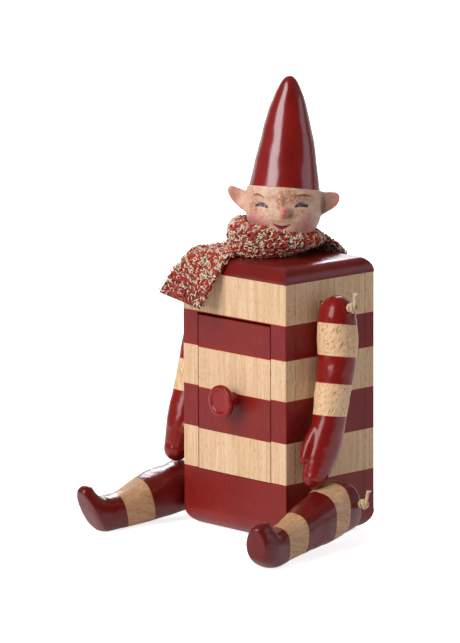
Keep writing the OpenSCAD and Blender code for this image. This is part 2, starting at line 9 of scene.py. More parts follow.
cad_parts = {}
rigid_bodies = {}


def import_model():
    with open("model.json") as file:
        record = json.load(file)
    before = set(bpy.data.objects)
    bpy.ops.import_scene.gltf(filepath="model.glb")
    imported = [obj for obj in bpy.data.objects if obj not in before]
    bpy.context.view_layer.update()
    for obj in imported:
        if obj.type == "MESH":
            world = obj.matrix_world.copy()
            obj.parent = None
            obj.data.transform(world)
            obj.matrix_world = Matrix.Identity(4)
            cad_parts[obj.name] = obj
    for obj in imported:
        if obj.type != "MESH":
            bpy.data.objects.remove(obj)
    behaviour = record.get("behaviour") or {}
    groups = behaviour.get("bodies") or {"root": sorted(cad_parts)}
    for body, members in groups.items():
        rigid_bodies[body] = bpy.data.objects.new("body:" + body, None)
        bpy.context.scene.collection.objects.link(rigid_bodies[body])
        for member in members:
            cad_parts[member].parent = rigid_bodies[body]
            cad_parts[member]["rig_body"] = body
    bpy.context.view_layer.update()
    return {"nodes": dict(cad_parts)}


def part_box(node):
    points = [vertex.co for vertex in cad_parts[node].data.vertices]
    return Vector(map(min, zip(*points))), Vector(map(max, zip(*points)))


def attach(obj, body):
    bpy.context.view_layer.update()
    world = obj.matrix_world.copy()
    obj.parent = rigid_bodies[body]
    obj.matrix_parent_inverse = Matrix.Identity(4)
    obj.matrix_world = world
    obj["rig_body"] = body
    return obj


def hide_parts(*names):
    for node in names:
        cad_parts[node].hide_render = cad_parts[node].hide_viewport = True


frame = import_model()
nodes = frame["nodes"]


# The camera stands where the photograph was taken from: a long lens, a little
# above the elf, in front of its left corner. Sizes below are in millimetres.
MM = 0.001
CAMERA_AT = Vector((1662.1, -1596.2, 519)) * MM
LOOKS_AT = Vector((-16.78, -17.82, 105.58)) * MM
CAMERA_ROLL = math.radians(-0.26)
LENS = 259.07


def in_scene(name, data):
    """A new object that shows the data, linked to the scene."""
    made = bpy.data.objects.new(name, data)
    bpy.context.scene.collection.objects.link(made)
    return made


back = (CAMERA_AT - LOOKS_AT).normalized()
right = Vector((0, 0, 1)).cross(back).normalized()
up = back.cross(right)
across = math.cos(CAMERA_ROLL) * right + math.sin(CAMERA_ROLL) * up
upright = -math.sin(CAMERA_ROLL) * right + math.cos(CAMERA_ROLL) * up
camera_data = bpy.data.cameras.new("camera")
camera_data.lens = LENS
camera_data.sensor_width = 36
camera_data.clip_end = 100
camera = in_scene("camera", camera_data)
turned = Matrix((across, upright, back)).transposed().to_4x4()
camera.matrix_world = Matrix.Translation(CAMERA_AT) @ turned
bpy.context.scene.camera = camera


# The studio: a white floor, a soft white surround, a tall softbox to the left
# of the camera and two dimmer ones, at the right and behind.
def rgba(code):
    """An sRGB hex colour, or a grey level from 0 to 1, as linear RGBA."""
    if not isinstance(code, str):
        return (code, code, code, 1)
    parts = [int(code[i:i + 2], 16) / 255 for i in (1, 3, 5)]
    linear = [p / 12.92 if p <= 0.04045 else ((p + 0.055) / 1.055) ** 2.4 for p in parts]
    return (*linear, 1)


def wire(node, links):
    """Feeds the node's inputs from other nodes or from their sockets."""
    for key, source in links.items():
        output = source if hasattr(source, "is_output") else source.outputs[0]
        node.id_data.links.new(output, node.inputs[key])


def add(tree, kind, links=(), values=(), **settings):
    """A new node, with its settings, its inputs' values and what feeds them."""
    node = tree.nodes.new("ShaderNode" + kind)
    for key, value in settings.items():
        setattr(node, key, value)
    for key, value in dict(values).items():
        node.inputs[key].default_value = value
    wire(node, dict(links))
    return node


def maths(operation, *terms):
    """The operation's result on one, two or three numbers or sockets."""
    values = {i: term for i, term in enumerate(terms) if isinstance(term, (int, float))}
    links = {i: term for i, term in enumerate(terms) if i not in values}
    tree = next(iter(links.values())).id_data
    return add(tree, "Math", links, values, operation=operation).outputs[0]


def times(first, *others):
    """The product of all that is given."""
    for other in others:
        first = maths("MULTIPLY", first, other)
    return first


def remapped(value, start, end, low, high, **settings):
    """A level that goes from low to high as the value goes from start to end."""
    return add(value.id_data, "MapRange", {"Value": value},
               {"From Min": start, "From Max": end, "To Min": low, "To Max": high}, **settings).outputs[0]


def dot(place, way):
    """How far a place lies along a direction."""
    return add(place.id_data, "VectorMath", {0: place}, {1: way}, operation="DOT_PRODUCT").outputs["Value"]


def on_piece(tree):
    """The place on the piece, which moves with its body."""
    return add(tree, "TexCoord").outputs["Object"]


def own_tree(data):
    """The shader nodes of a world or a material, cleared to start from."""
    data.use_nodes = True
    data.node_tree.nodes.clear()
    return data.node_tree


def seen_share(path, gloss_share):
    """1 for what the camera or a clear part sees, less for a gloss, 0 for light."""
    seen = maths("MAXIMUM", path.outputs["Is Camera Ray"], gloss_share)
    return maths("MAXIMUM", path.outputs["Is Transmission Ray"], seen)


WORLD_LIGHT = 0.27
ROOM_DARK = 0.06
SIDES_DIM = 0.16
ROOM_WAY = (0.7286, -0.6850, 0)
world = bpy.data.worlds.new("studio_surround")
tree = own_tree(world)
lighting = add(tree, "Background", values={"Color": rgba("#fdfbff"), "Strength": WORLD_LIGHT})
# A gloss sees the white backdrop behind the elf, a dim room at its sides and
# a dark one behind the camera's stand
to_room = dot(add(tree, "TexCoord").outputs["Generated"], ROOM_WAY)
backdrop = remapped(to_room, -0.84, -0.55, 1, SIDES_DIM)
room = remapped(to_room, 0.2, 0.6, 1, ROOM_DARK / SIDES_DIM)
path = add(tree, "LightPath")
level = maths("MAXIMUM", times(backdrop, room), path.outputs["Is Camera Ray"])
seen_world = add(tree, "Background", {"Strength": level}, {"Color": rgba("#ffffff")})
seen = seen_share(path, path.outputs["Is Glossy Ray"])
mixed = add(tree, "MixShader", {0: seen, 1: lighting, 2: seen_world})
add(tree, "OutputWorld", {"Surface": mixed})
bpy.context.scene.world = world
bpy.context.scene.view_settings.view_transform = "Standard"


def new_material(name, roughness, coat=0, coat_roughness=0.1, metallic=0, specular=0.5):
    """An empty material and its Principled shader, joined to the output."""
    material = bpy.data.materials.new(name)
    tree = own_tree(material)
    shader = add(tree, "BsdfPrincipled", values={
        "Roughness": roughness, "Coat Weight": coat, "Coat Roughness": coat_roughness,
        "Metallic": metallic, "Specular IOR Level": specular})
    add(tree, "OutputMaterial", {"Surface": shader})
    return material, tree, shader


def finished(bm, name):
    """The mesh as a named object in the scene, in metres and unturned."""
    mesh = bpy.data.meshes.new(name)
    bm.to_mesh(mesh)
    bm.free()
    return in_scene(name, mesh)


def sliced(bm, point, normal, **cleared):
    """Cuts the mesh with a plane and clears what lies on one side of it."""
    bmesh.ops.bisect_plane(bm, geom=bm.verts[:] + bm.edges[:] + bm.faces[:], plane_co=point,
                           plane_no=normal, **cleared)


FLOOR_REACH = 14
FLOOR_FRONT = 0.27
FLOOR_TURN = math.radians(46.77)
FLOOR_GLOW = 0.8
GLOSS_SHARE = 0.32
RIGHT_WAY = (0.685, 0.7286, 0)
bm = bmesh.new()
bmesh.ops.create_grid(bm, x_segments=2, y_segments=2, size=FLOOR_REACH)
bmesh.ops.rotate(bm, verts=bm.verts, cent=(0, 0, 0), matrix=Matrix.Rotation(FLOOR_TURN, 3, "Z"))
sliced(bm, Vector(ROOM_WAY) * FLOOR_FRONT, ROOM_WAY, clear_outer=True)
floor = finished(bm, "floor")
floor_paper = bpy.data.materials.new("white_paper_floor")
tree = own_tree(floor_paper)
paper = add(tree, "BsdfDiffuse", values={"Color": rgba("#efeff0")})
place = on_piece(tree)
from_elf = add(tree, "VectorMath", {0: place}, operation="LENGTH").outputs["Value"]
glow_share = remapped(from_elf, 0.15, 0.8, FLOOR_GLOW, 1)
# The paper is lit behind the elf and falls off towards its right in a gloss
reach = maths("MULTIPLY_ADD", dot(place, ROOM_WAY), -1, 2.33)
spread = maths("DIVIDE", dot(place, RIGHT_WAY), reach)
lit = remapped(spread, 0.075, 0.2, 1, 0)
path = add(tree, "LightPath")
seen = seen_share(path, times(path.outputs["Is Glossy Ray"], GLOSS_SHARE, lit))
glow = add(tree, "Emission", {"Strength": times(seen, glow_share)}, {"Color": rgba("#ffffff")})
both = add(tree, "AddShader", {0: paper, 1: glow})
add(tree, "OutputMaterial", {"Surface": both})
floor.data.materials.append(floor_paper)


def softbox(name, azimuth, height, distance, width, tall, watts, tint):
    """A lamp that faces the elf; azimuth 0 is in front, 90 on its own left."""
    lamp_data = bpy.data.lights.new(name, "AREA")
    lamp_data.shape = "RECTANGLE"
    lamp_data.size = width
    lamp_data.size_y = tall
    lamp_data.energy = watts
    lamp_data.color = rgba(tint)[:3]
    lamp = in_scene(name, lamp_data)
    a = math.radians(azimuth)
    lamp.location = (math.sin(a) * distance, -math.cos(a) * distance, height)
    lamp.rotation_euler = (lamp.location - Vector((0, 0, 0.1))).to_track_quat("Z", "Y").to_euler()


softbox("key_softbox", azimuth=-2, height=1.15, distance=1.7, width=1.1, tall=1.9, watts=40, tint="#fffbfd")
softbox("rim_softbox", azimuth=134, height=0.6, distance=1.8, width=1, tall=0.9, watts=2.8, tint="#efeeff")
softbox("back_softbox", azimuth=226, height=1.05, distance=1.8, width=0.9, tall=0.7, watts=18, tint="#f8f6ff")


# The box: a lid, a base and four boards of beech, glued edge to edge, with
# bands of dark red paint brushed on right round them; grain runs upwards.
BAND_EDGES = [30.5, 51.7, 72.9, 93.9, 111.2]
PAINT_RED = "#801812"
BEECH_PALE = "#e6c8a2"
BEECH_DARK = "#d2ab7e"
# How far from the middle a place lies that is on the sides' or the front's face
SIDE_FACE = 37
FRONT_FACE = 30.9


def cloud(space, scale, detail=2, roughness=0.5):
    """Soft noise over a space, at a number of patches to its unit."""
    return add(space.id_data, "TexNoise", {"Vector": space},
               {"Scale": scale, "Detail": detail, "Roughness": roughness}).outputs[0]


def grain(tree, width, length, turn=(0, 0, 0), detail=2, roughness=0.5):
    """Noise in flecks of a width and a length, turned to lie along the grain."""
    space = add(tree, "Mapping", {"Vector": on_piece(tree)},
                {"Rotation": turn, "Scale": (width * MM, width * MM, length * MM)}, vector_type="TEXTURE")
    return cloud(space, 1, detail, roughness)


def ramp(source, stops, interpolation="LINEAR"):
    """A colour ramp over the source, with stops of (position, colour)."""
    node = add(source.id_data, "ValToRGB", {"Fac": source})
    node.color_ramp.interpolation = interpolation
    while len(node.color_ramp.elements) < len(stops):
        node.color_ramp.elements.new(1)
    for element, (position, colour) in zip(node.color_ramp.elements, stops):
        element.position = position
        element.color = rgba(colour)
    return node.outputs[0]


def mix_colour(share, under, over):
    """The colour under, with a share of the colour over it."""
    links = {0: share}
    values = {}
    for key, colour in ((6, under), (7, over)):
        if isinstance(colour, str):
            values[key] = rgba(colour)
        else:
            links[key] = colour
    return add(share.id_data, "Mix", links, values, data_type="RGBA").outputs[2]


def beech_colour(tree, turn, pale, dark, flecks=0.4, fleck_width=0.45):
    """Steamed beech: soft streaks 1.5 mm wide under brown flecks 3 mm long."""
    streaks = ramp(grain(tree, 1.6, 34, turn, 4, 0.6), [(0.3, dark), (0.62, pale)])
    drift = ramp(grain(tree, 16, 60, turn, 1), [(0.35, 0), (0.75, 0.35)])
    marks = ramp(grain(tree, fleck_width, fleck_width * 7, turn, 0.5), [(0.6, 0), (0.7, flecks)])
    return mix_colour(marks, mix_colour(drift, streaks, dark), "#9c6238")


# The bands' edges wander a little and have a fine bright line along them, which is a painted highlight on the
# paint's edge
EDGE_WANDER = 0.12
EDGE_HIGHLIGHT = 0.3
PAST_EDGES = 25


def band_masks(tree, direction, edges):
    """Where the paint lies along a direction, and the painted highlight along its edges."""
    place = on_piece(tree)
    along = maths("MULTIPLY_ADD", cloud(place, 420, 1), EDGE_WANDER * MM, dot(place, direction))
    low = (edges[0] - PAST_EDGES) * MM
    high = (edges[-1] + PAST_EDGES) * MM
    share = remapped(along, low, high, 0, 1)
    cover = [(0, 1)]
    lines = [(0, 0)]
    half = EDGE_HIGHLIGHT / 2 * MM / (high - low)
    for i, edge in enumerate(edges):
        middle = (edge * MM - low) / (high - low)
        cover.append((middle, i % 2))
        lines += [(middle - half, 1), (middle + half, 0)]
    return ramp(share, cover, "CONSTANT"), ramp(share, lines, "CONSTANT")


def glue_lines(tree, at):
    """The joints between the boards: broken dark lines at Y = at and -at."""
    x, y, _ = add(tree, "SeparateXYZ", {0: on_piece(tree)}).outputs
    on_joint = maths("COMPARE", maths("ABSOLUTE", y), at * MM, 0.2 * MM)
    outside = maths("GREATER_THAN", maths("ABSOLUTE", x), SIDE_FACE * MM)
    broken = ramp(grain(tree, 4, 2.2), [(0.42, 0.1), (0.55, 0.75)])
    return times(on_joint, outside, broken)


def banded_beech(name, direction, edges, turn=(0, 0, 0), paint=PAINT_RED, pale=BEECH_PALE, dark=BEECH_DARK,
                 flecks=0.4, fleck_width=0.45, paint_gloss=0.38, coat=0, pores=0.35, glue_line=None):
    """Beech with bands of brushed paint, thin enough for the pores to show."""
    material, tree, shader = new_material(name, 0.5, coat, 0.14, specular=0.33)
    cover, lines = band_masks(tree, direction, edges)
    wood = beech_colour(tree, turn, pale, dark, flecks, fleck_width)
    pore = grain(tree, 0.5, 7, turn)
    tone = ramp(grain(tree, 9, 22, turn), [(0.3, 0), (0.7, 0.45)])
    brushed = mix_colour(tone, paint, "#701210")
    streaked = mix_colour(ramp(pore, [(0.56, 0), (0.7, pores)]), brushed, "#a5453c")
    # The bright red line along each band's edge is a painted highlight
    colour = mix_colour(lines, mix_colour(cover, wood, streaked), "#a01a1c")
    if glue_line:
        colour = mix_colour(glue_lines(tree, glue_line), colour, "#4a2a1c")
    bump = add(tree, "Bump", {"Height": pore}, {"Strength": 0.35, "Distance": 0.04 * MM})
    wire(shader, {"Base Color": colour, "Normal": bump,
                  "Roughness": remapped(cover, 0, 1, 0.62, paint_gloss)})
    return material


def fitted(piece, material, body, node):
    """Gives a piece its material and its body, and hides the solid it stands for."""
    piece.data.materials.append(material)
    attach(piece, body)
    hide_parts(node)


def eased(node, name, material, cuts=()):
    """A copy of a board with some of its edges eased by (offset, segments, test)."""
    bm = bmesh.new()
    bm.from_mesh(nodes[node].data)
    bmesh.ops.remove_doubles(bm, verts=bm.verts, dist=1e-6)
    bmesh.ops.dissolve_limit(bm, angle_limit=math.radians(1), verts=bm.verts, edges=bm.edges)
    for offset, segments, test in cuts:
        chosen = []
        for edge in bm.edges:
            a, b = (vert.co for vert in edge.verts)
            sharp = len(edge.link_faces) == 2 and edge.calc_face_angle(0) > 0.9
            if sharp and test((a + b) / 2 / MM, (b - a).normalized()):
                chosen.append(edge)
        bmesh.ops.bevel(bm, geom=chosen, offset=offset * MM, offset_type="OFFSET", affect="EDGES",
                        segments=segments, profile=0.5, material=-1)
    piece = finished(bm, name)
    fitted(piece, material, nodes[node]["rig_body"], node)
    return piece


def shade_by_angle(piece, degrees):
    """Smooth faces, with edges sharper than the angle kept crisp."""
    mesh = piece.data
    bm = bmesh.new()
    bm.from_mesh(mesh)
    for face in bm.faces:
        face.smooth = True
    for edge in bm.edges:
        edge.smooth = len(edge.link_faces) == 2 and edge.calc_face_angle(0) < math.radians(degrees)
    bm.to_mesh(mesh)
    bm.free()


def vertical(direction):
    return abs(direction.z) > 0.99


banded_board = banded_beech("brushed_paint_on_beech", (0, 0, 1), BAND_EDGES, glue_line=24.5)
CORNER = (0.5, 3, lambda at, way: vertical(way) and abs(at.y) > FRONT_FACE and abs(at.x) > SIDE_FACE)
OPENING = (0.15, 1, lambda at, way: at.y < -FRONT_FACE and abs(at.x) < 27 and 25 < at.z < 115)
SEAM = (0.14, 1, lambda at, way: vertical(way) and abs(at.x) > SIDE_FACE)
for node, cuts in (("front_board", [CORNER, OPENING]), ("back_board", [CORNER]),
                   ("left_side_board", [SEAM]), ("right_side_board", [SEAM])):
    eased(node, f"{node}_banded", banded_board, cuts)


# The lid and the base: solid boards, rounded over on a router and painted with
# a glossier coat of the same red, rubbed thin along the rounded edges.
def gloss_paint(name, paint, dark, roughness, coat, ripple, ripple_depth, streak=0.25, specular=0.5):
    """Oil paint under varnish: uneven in tone, with a slow ripple in its gloss."""
    material, tree, shader = new_material(name, roughness, coat, 0.15, specular=specular)
    place = on_piece(tree)
    tone = ramp(cloud(place, 1 / (11 * MM), 3), [(0.35, 0), (0.7, 0.7)])
    marks = ramp(grain(tree, 0.6, 6), [(0.6, 0), (0.75, streak)])
    colour = mix_colour(marks, mix_colour(tone, paint, dark), "#9d3a31")
    wave = cloud(place, 1 / (ripple * MM), 4, 0.55)
    bump = add(tree, "Bump", {"Height": wave}, {"Strength": 1, "Distance": ripple_depth * MM})
    wire(shader, {"Base Color": colour, "Normal": bump})
    return material


lid_gloss = gloss_paint("varnished_gloss_paint_on_lid", "#78100b", "#5e0906", 0.3, 0, 3.5, 0.03)
base_gloss = gloss_paint("satin_paint_on_base", "#8a1b14", "#74120d", 0.36, 0.12, 3.5, 0.02, 0.35, 0.35)
for node, finish in (("lid_board", lid_gloss), ("base_board", base_gloss)):
    shade_by_angle(eased(node, f"{node}_painted", finish), 30)


# Inside: the shelf, the divider and the guides that the drawer runs on, in bare
# beech; the neck's peg is turned from the same wood.
def coloured(names, material):
    """Gives solids that stay as they are a material of their own."""
    for name in names:
        nodes[name].data.materials.clear()
        nodes[name].data.materials.append(material)


inside_beech, tree, shader = new_material("planed_bare_beech", 0.62)
wire(shader, {"Base Color": beech_colour(tree, (0, 0, 0), "#d8b488", "#c19566")})
coloured(["drawer_shelf", "drawer_divider", "left_guide", "right_guide", "neck_peg",
          "drawer_left_side", "drawer_right_side", "drawer_back", "drawer_bottom"], inside_beech)


# The drawer front: cut from the front board, so that its bands run on across
# it a little lower, with its edges eased by sandpaper.
DRAWER_SAG = 0.7
drawer_banded = banded_beech("brushed_paint_on_drawer_front", (0, 0, 1), [e - DRAWER_SAG for e in BAND_EDGES])
eased("drawer_front", "drawer_front_banded", drawer_banded,
      [(0.25, 2, lambda at, way: at.y < -FRONT_FACE)])


# The knob: turned from one piece of wood, with a raised ring round a shallow
# dish on its face, and dipped in gloss paint; its rim is left plain.
KNOB_OUTLINE = [
    (0, 9.95), (3, 9.9), (5.2, 9.85), (5.6, 9.95), (5.85, 10.35), (6.2, 10.5), (7.2, 10.5), (7.8, 10.3),
    (8.15, 9.85), (8.25, 9.2), (8.25, 8.2), (8, 7.5), (7.2, 6.85), (6, 6.35), (4.4, 5.7), (3.3, 5),
    (2.9, 4.2), (2.9, 2.8), (3.1, 1.8), (3.45, 1.1), (3.5, 0.5), (3.5, 0)]
knob_low, knob_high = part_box("knob")
KNOB_SAG = 0.3
knob_centre = Vector(((knob_low.x + knob_high.x) / 2, knob_high.y,
                      (knob_low.z + knob_high.z) / 2 - KNOB_SAG * MM))


def close_holes(bm):
    """Fills every open hole with a flat face."""
    bmesh.ops.holes_fill(bm, edges=[edge for edge in bm.edges if edge.is_boundary])


bm = bmesh.new()
points = [bm.verts.new(knob_centre + Vector((r * MM, -out * MM, 0))) for r, out in KNOB_OUTLINE]
edges = [bm.edges.new(pair) for pair in zip(points, points[1:])]
bmesh.ops.spin(bm, geom=points + edges, cent=knob_centre, axis=(0, 1, 0), angle=math.tau, steps=72,
               use_merge=True, use_duplicate=False)
bmesh.ops.remove_doubles(bm, verts=bm.verts, dist=1e-6)
close_holes(bm)
bmesh.ops.recalc_face_normals(bm, faces=bm.faces)
knob = finished(bm, "turned_knob")
shade_by_angle(knob, 60)
knob_gloss = gloss_paint("dipped_gloss_paint_on_knob", "#92130d", "#7c0f0a", 0.24, 0.12, 1.6, 0.03, 0.1, 0.3)
fitted(knob, knob_gloss, "drawer", "knob")


# The two wood screws and the washer: bright steel, turned and zinc plated,
# which hold the knob to its drawer and the neck's peg in the lid.
def mottled(name, roughness, size, stops, detail=2, metallic=0):
    """A material whose colours run into each other in patches of that size."""
    material, tree, shader = new_material(name, roughness, metallic=metallic)
    patches = cloud(on_piece(tree), 1 / (size * MM), detail)
    wire(shader, {"Base Color": ramp(patches, stops)})
    return material


steel = mottled("zinc_plated_steel", 0.32, 0.8, [(0.3, "#8f9092"), (0.7, "#c4c5c8")], metallic=1)
coloured(["knob_screw", "neck_screw", "neck_washer"], steel)


# The head: carved from one block with its ears, turned towards the elf's left.
# Its places are in millimetres from the neck's foot, with the face at -Y.
HEAD_TURN = 43
HEAD_LEAN = 2.7
HEAD_R = 19.2
HEAD_H = 32.8
BRIM_TILT = 10
BRIM_ROLL = 1.3
NOSE_H = 24.2
EAR_T = 2.4
EAR_ROOT = 16.2
EAR_SWEEP = 0.13
# The ears' outlines: (outwards, up over NOSE_H)
EARS = {1: [(16.2, -4.8), (16.2, 6.2), (20.9, 6.5), (22.8, 6.6), (25.4, 6.6), (26.4, 6.2), (26.95, 5.2),
            (26.85, 3.5), (25.6, 1.4), (23.5, -0.4), (21, -1.9), (19.4, -3)],
        -1: [(16.2, -5.4), (16.2, 4.2), (21.1, 5.5), (23.6, 6.4), (25.9, 7.1), (27.3, 7.1), (27.7, 6.4),
             (27.6, 5.2), (26.85, 3.65), (25.8, 1.8), (23.9, -0.1), (21.3, -2)]}
HEAD_FOOT = Vector((0, 2.4, 140.7))


def turned_by(degrees, axis):
    return Matrix.Rotation(math.radians(degrees), 4, axis)


head_turned = turned_by(HEAD_TURN, "Z") @ turned_by(HEAD_LEAN, "Y")
head_place = Matrix.Scale(MM, 4) @ Matrix.Translation(HEAD_FOOT) @ head_turned
# Height over the neck's foot, half depth and half width
HEAD_ROWS = [
    (0, 0.44, 0.44), (3.6, 0.45, 0.45), (6, 0.5, 0.51), (8, 0.6, 0.61), (10, 0.72, 0.73), (12, 0.81, 0.83),
    (14, 0.87, 0.89), (17, 0.94, 0.96), (21, 0.99, 1), (27, 1, 1), (33.2, 0.98, 0.99), (39, 0.95, 0.96)]


def smooth_path(rows, steps):
    """Rows on a smooth curve through the given ones."""
    made = []
    for i in range(len(rows) - 1):
        p0, p1, p2, p3 = (rows[min(max(k, 0), len(rows) - 1)] for k in (i - 1, i, i + 1, i + 2))
        for j in range(steps):
            t = j / steps
            row = []
            for a, b, c, d in zip(p0, p1, p2, p3):
                curved = (2 * a - 5 * b + 4 * c - d) * t * t + (3 * b - a - 3 * c + d) * t ** 3
                row.append(0.5 * (2 * b + (c - a) * t + curved))
            made.append(tuple(row))
    made.append(tuple(rows[-1]))
    return made


def ring_tube(bm, rings, sides, squareness=2):
    """A closed skin through rings, each a matrix that places a unit circle."""
    made = bmesh.ops.create_circle(bm, cap_ends=True, cap_tris=True, radius=1, segments=sides)
    loop = [v for v in made["verts"] if v.co.length > 0.5]
    for vert in loop:
        vert.co *= (abs(vert.co.x) ** squareness + abs(vert.co.y) ** squareness) ** (-1 / squareness)
    bmesh.ops.transform(bm, matrix=rings[0], verts=made["verts"])
    edges = [e for e in {e for v in loop for e in v.link_edges} if e.is_boundary]
    for before, after in zip(rings, rings[1:]):
        extruded = bmesh.ops.extrude_edge_only(bm, edges=edges)["geom"]
        verts = [g for g in extruded if isinstance(g, bmesh.types.BMVert)]
        edges = [g for g in extruded if isinstance(g, bmesh.types.BMEdge) and g.is_boundary]
        bmesh.ops.transform(bm, matrix=after @ before.inverted(), verts=verts)
    bmesh.ops.holes_fill(bm, edges=edges)
    bmesh.ops.recalc_face_normals(bm, faces=bm.faces)


def smoothed(bm, times_over):
    """Evens out the mesh, like a rub with sandpaper."""
    for _ in range(times_over):
        bmesh.ops.smooth_vert(bm, verts=bm.verts, factor=0.5, use_axis_x=True, use_axis_y=True,
                              use_axis_z=True)


def mesh_of(made):
    """The mesh that an object shows, in place of the object."""
    mesh = bpy.data.meshes.new_from_object(made.evaluated_get(bpy.context.evaluated_depsgraph_get()))
    bpy.data.objects.remove(made)
    return mesh


def moved(bm, matrix):
    """Moves, turns or scales the whole mesh."""
    bmesh.ops.transform(bm, matrix=matrix, verts=bm.verts)


def remeshed(bm, voxel, smoothing):
    """One closed skin of even small faces over a mesh, all in millimetres."""
    moved(bm, Matrix.Scale(MM, 4))
    rough = finished(bm, "rough_shape")
    remesh = rough.modifiers.new("skin", "REMESH")
    remesh.mode = "VOXEL"
    remesh.voxel_size = voxel * MM
    remesh.use_smooth_shade = True
    even = mesh_of(rough)
    bm = bmesh.new()
    bm.from_mesh(even)
    bpy.data.meshes.remove(even)
    moved(bm, Matrix.Scale(1 / MM, 4))
    smoothed(bm, smoothing)
    return bm


def add_hull(bm, balls, subdivisions):
    """Adds one skin drawn tight round balls, each a place and a radius."""
    tight = bmesh.new()
    for place, radius in balls:
        bmesh.ops.create_icosphere(tight, subdivisions=subdivisions, radius=radius,
                                   matrix=Matrix.Translation(place))
    hull = bmesh.ops.convex_hull(tight, input=tight.verts)
    inner = {g for g in hull["geom_interior"] if isinstance(g, bmesh.types.BMVert)}
    bmesh.ops.delete(tight, geom=list(inner), context="VERTS")
    shape = bpy.data.meshes.new("tight_skin")
    tight.to_mesh(shape)
    tight.free()
    bm.from_mesh(shape)
    bpy.data.meshes.remove(shape)


def hump(at, centre, spread):
    """1 at the centre, falling to nothing over the spread each way."""
    total = sum(((a - c) / s) ** 2 for a, c, s in zip(at, centre, spread))
    return math.exp(-total)


def unevenness(at, marks):
    """How far a carved surface is off at a place, for marks of (height, size)."""
    return sum(height * noise.noise(at / size) for height, size in marks)


# How far the carver raised or sank the face: (x, z, spread x, spread z, height)
FACE_CARVING = [
    (-10, 26.6, 4, 2, -0.7), (10, 27, 4, 2, -0.7),
    (-11, 30.8, 5, 1.8, 0.4), (10.5, 31.4, 5, 1.8, 0.4),
    (-10.5, 19.8, 5, 4, 1), (10.5, 20, 5, 4, 1),
    (0, 27, 1.8, 4.4, 1.1), (1.3, 22.8, 2.6, 2, 1.5),
    (0.2, 16.6, 4.6, 1.6, -0.45), (0.4, 12.2, 5.5, 2.2, 1), (0.2, 19.6, 4.5, 1, 0.35)]
FACE_FROM = -4
FACE_HALF = 17
HEAD_MARKS = [(0.16, 5.5)]
EAR_HOLLOW = 1.5
EAR_HOLLOW_AT = (23.2, NOSE_H + 2.8)
EAR_HOLLOW_SPREAD = (3.2, 3.4)
NOSE_TIP = (1.6, -20, 23.6)
NOSE_R = 2.3

bm = bmesh.new()
rings = [Matrix.Translation((0, 0, up)) @ Matrix.Diagonal((half_w * HEAD_R, half_d * HEAD_R, 1, 1))
         for up, half_d, half_w in smooth_path(HEAD_ROWS, 4)]
ring_tube(bm, rings, 96)
BRIM_WAY = turned_by(-BRIM_TILT, "X") @ turned_by(BRIM_ROLL, "Y") @ Vector((0, 0, 1))
sliced(bm, (0, 0, HEAD_H), BRIM_WAY, clear_outer=True)
close_holes(bm)
for side, outline in EARS.items():
    add_hull(bm, [((x * side, (x - EAR_ROOT) * EAR_SWEEP, NOSE_H + z), EAR_T / 2) for x, z in outline], 2)
bmesh.ops.create_uvsphere(bm, u_segments=24, v_segments=16, radius=NOSE_R,
                          matrix=Matrix.Translation(NOSE_TIP))
bm = remeshed(bm, 0.42, 4)
for vert in bm.verts:
    at = vert.co.copy()
    lift = unevenness(at, HEAD_MARKS)
    if at.y < FACE_FROM and abs(at.x) < FACE_HALF:
        facing = min(1, (FACE_FROM - at.y) / 6)
        for x, z, wide, tall, height in FACE_CARVING:
            lift += facing * height * hump((at.x, at.z), (x, z), (wide, tall))
    vert.co += Vector((at.x, at.y, 0)).normalized() * lift
    for side in EARS:
        if at.x * side > HEAD_R - 0.5 and at.y < 1.2:
            vert.co.y += EAR_HOLLOW * hump((at.x * side, at.z), EAR_HOLLOW_AT, EAR_HOLLOW_SPREAD)
smoothed(bm, 2)
moved(bm, head_place)
head = finished(bm, "carved_head")

flesh, tree, shader = new_material("painted_flesh_on_lime_wood", 0.5, 0.12, 0.25)
face_space = add(tree, "Mapping", {"Vector": on_piece(tree)}, {
    "Location": HEAD_FOOT * MM, "Rotation": (0, math.radians(HEAD_LEAN), math.radians(HEAD_TURN)),
    "Scale": (MM, MM, MM)}, vector_type="TEXTURE")
# The brush wanders by up to half a millimetre
brush_wander = add(tree, "TexNoise", {"Vector": face_space}, {"Scale": 0.9, "Detail": 2})
wandered = add(tree, "VectorMath", {0: brush_wander.outputs["Color"], 2: face_space},
               {1: (0.5, 0.5, 0.5)}, operation="MULTIPLY_ADD")
centred = add(tree, "VectorMath", {0: wandered}, {1: (0.25, 0.25, 0.25)}, operation="SUBTRACT")
face_x, face_y, face_z = add(tree, "SeparateXYZ", {0: centred}).outputs


def soft_step(value, full, none):
    """1 where the value is under full, falling smoothly to 0 at none."""
    return remapped(value, full, none, 1, 0, interpolation_type="SMOOTHSTEP")


def brush_stroke(x, z, half_length, half_width, bend, tilt=0, soft=0.25):
    """A painted arc round (x, z): bend lifts its ends, tilt lifts its left end."""
    off = maths("SUBTRACT", face_x, x)
    arc = maths("MULTIPLY_ADD", maths("MULTIPLY_ADD", off, bend, tilt), off, z)
    away = maths("ABSOLUTE", maths("SUBTRACT", face_z, arc))
    along = maths("ABSOLUTE", off)
    taper = maths("MULTIPLY_ADD", times(along, along), -0.8 * half_width / half_length ** 2, half_width)
    return times(soft_step(maths("SUBTRACT", away, taper), 0, soft),
                 soft_step(along, half_length - soft, half_length + soft))


def soft_spot(x, z, wide, tall):
    """A patch of thin colour, full at (x, z) and gone at its edge."""
    dx = maths("DIVIDE", maths("SUBTRACT", face_x, x), wide)
    dz = maths("DIVIDE", maths("SUBTRACT", face_z, z), tall)
    return soft_step(maths("MULTIPLY_ADD", dx, dx, times(dz, dz)), 0, 1)


def painted(under, over, *shares):
    """A colour laid over another by the product of its shares."""
    return mix_colour(times(*shares), under, over)


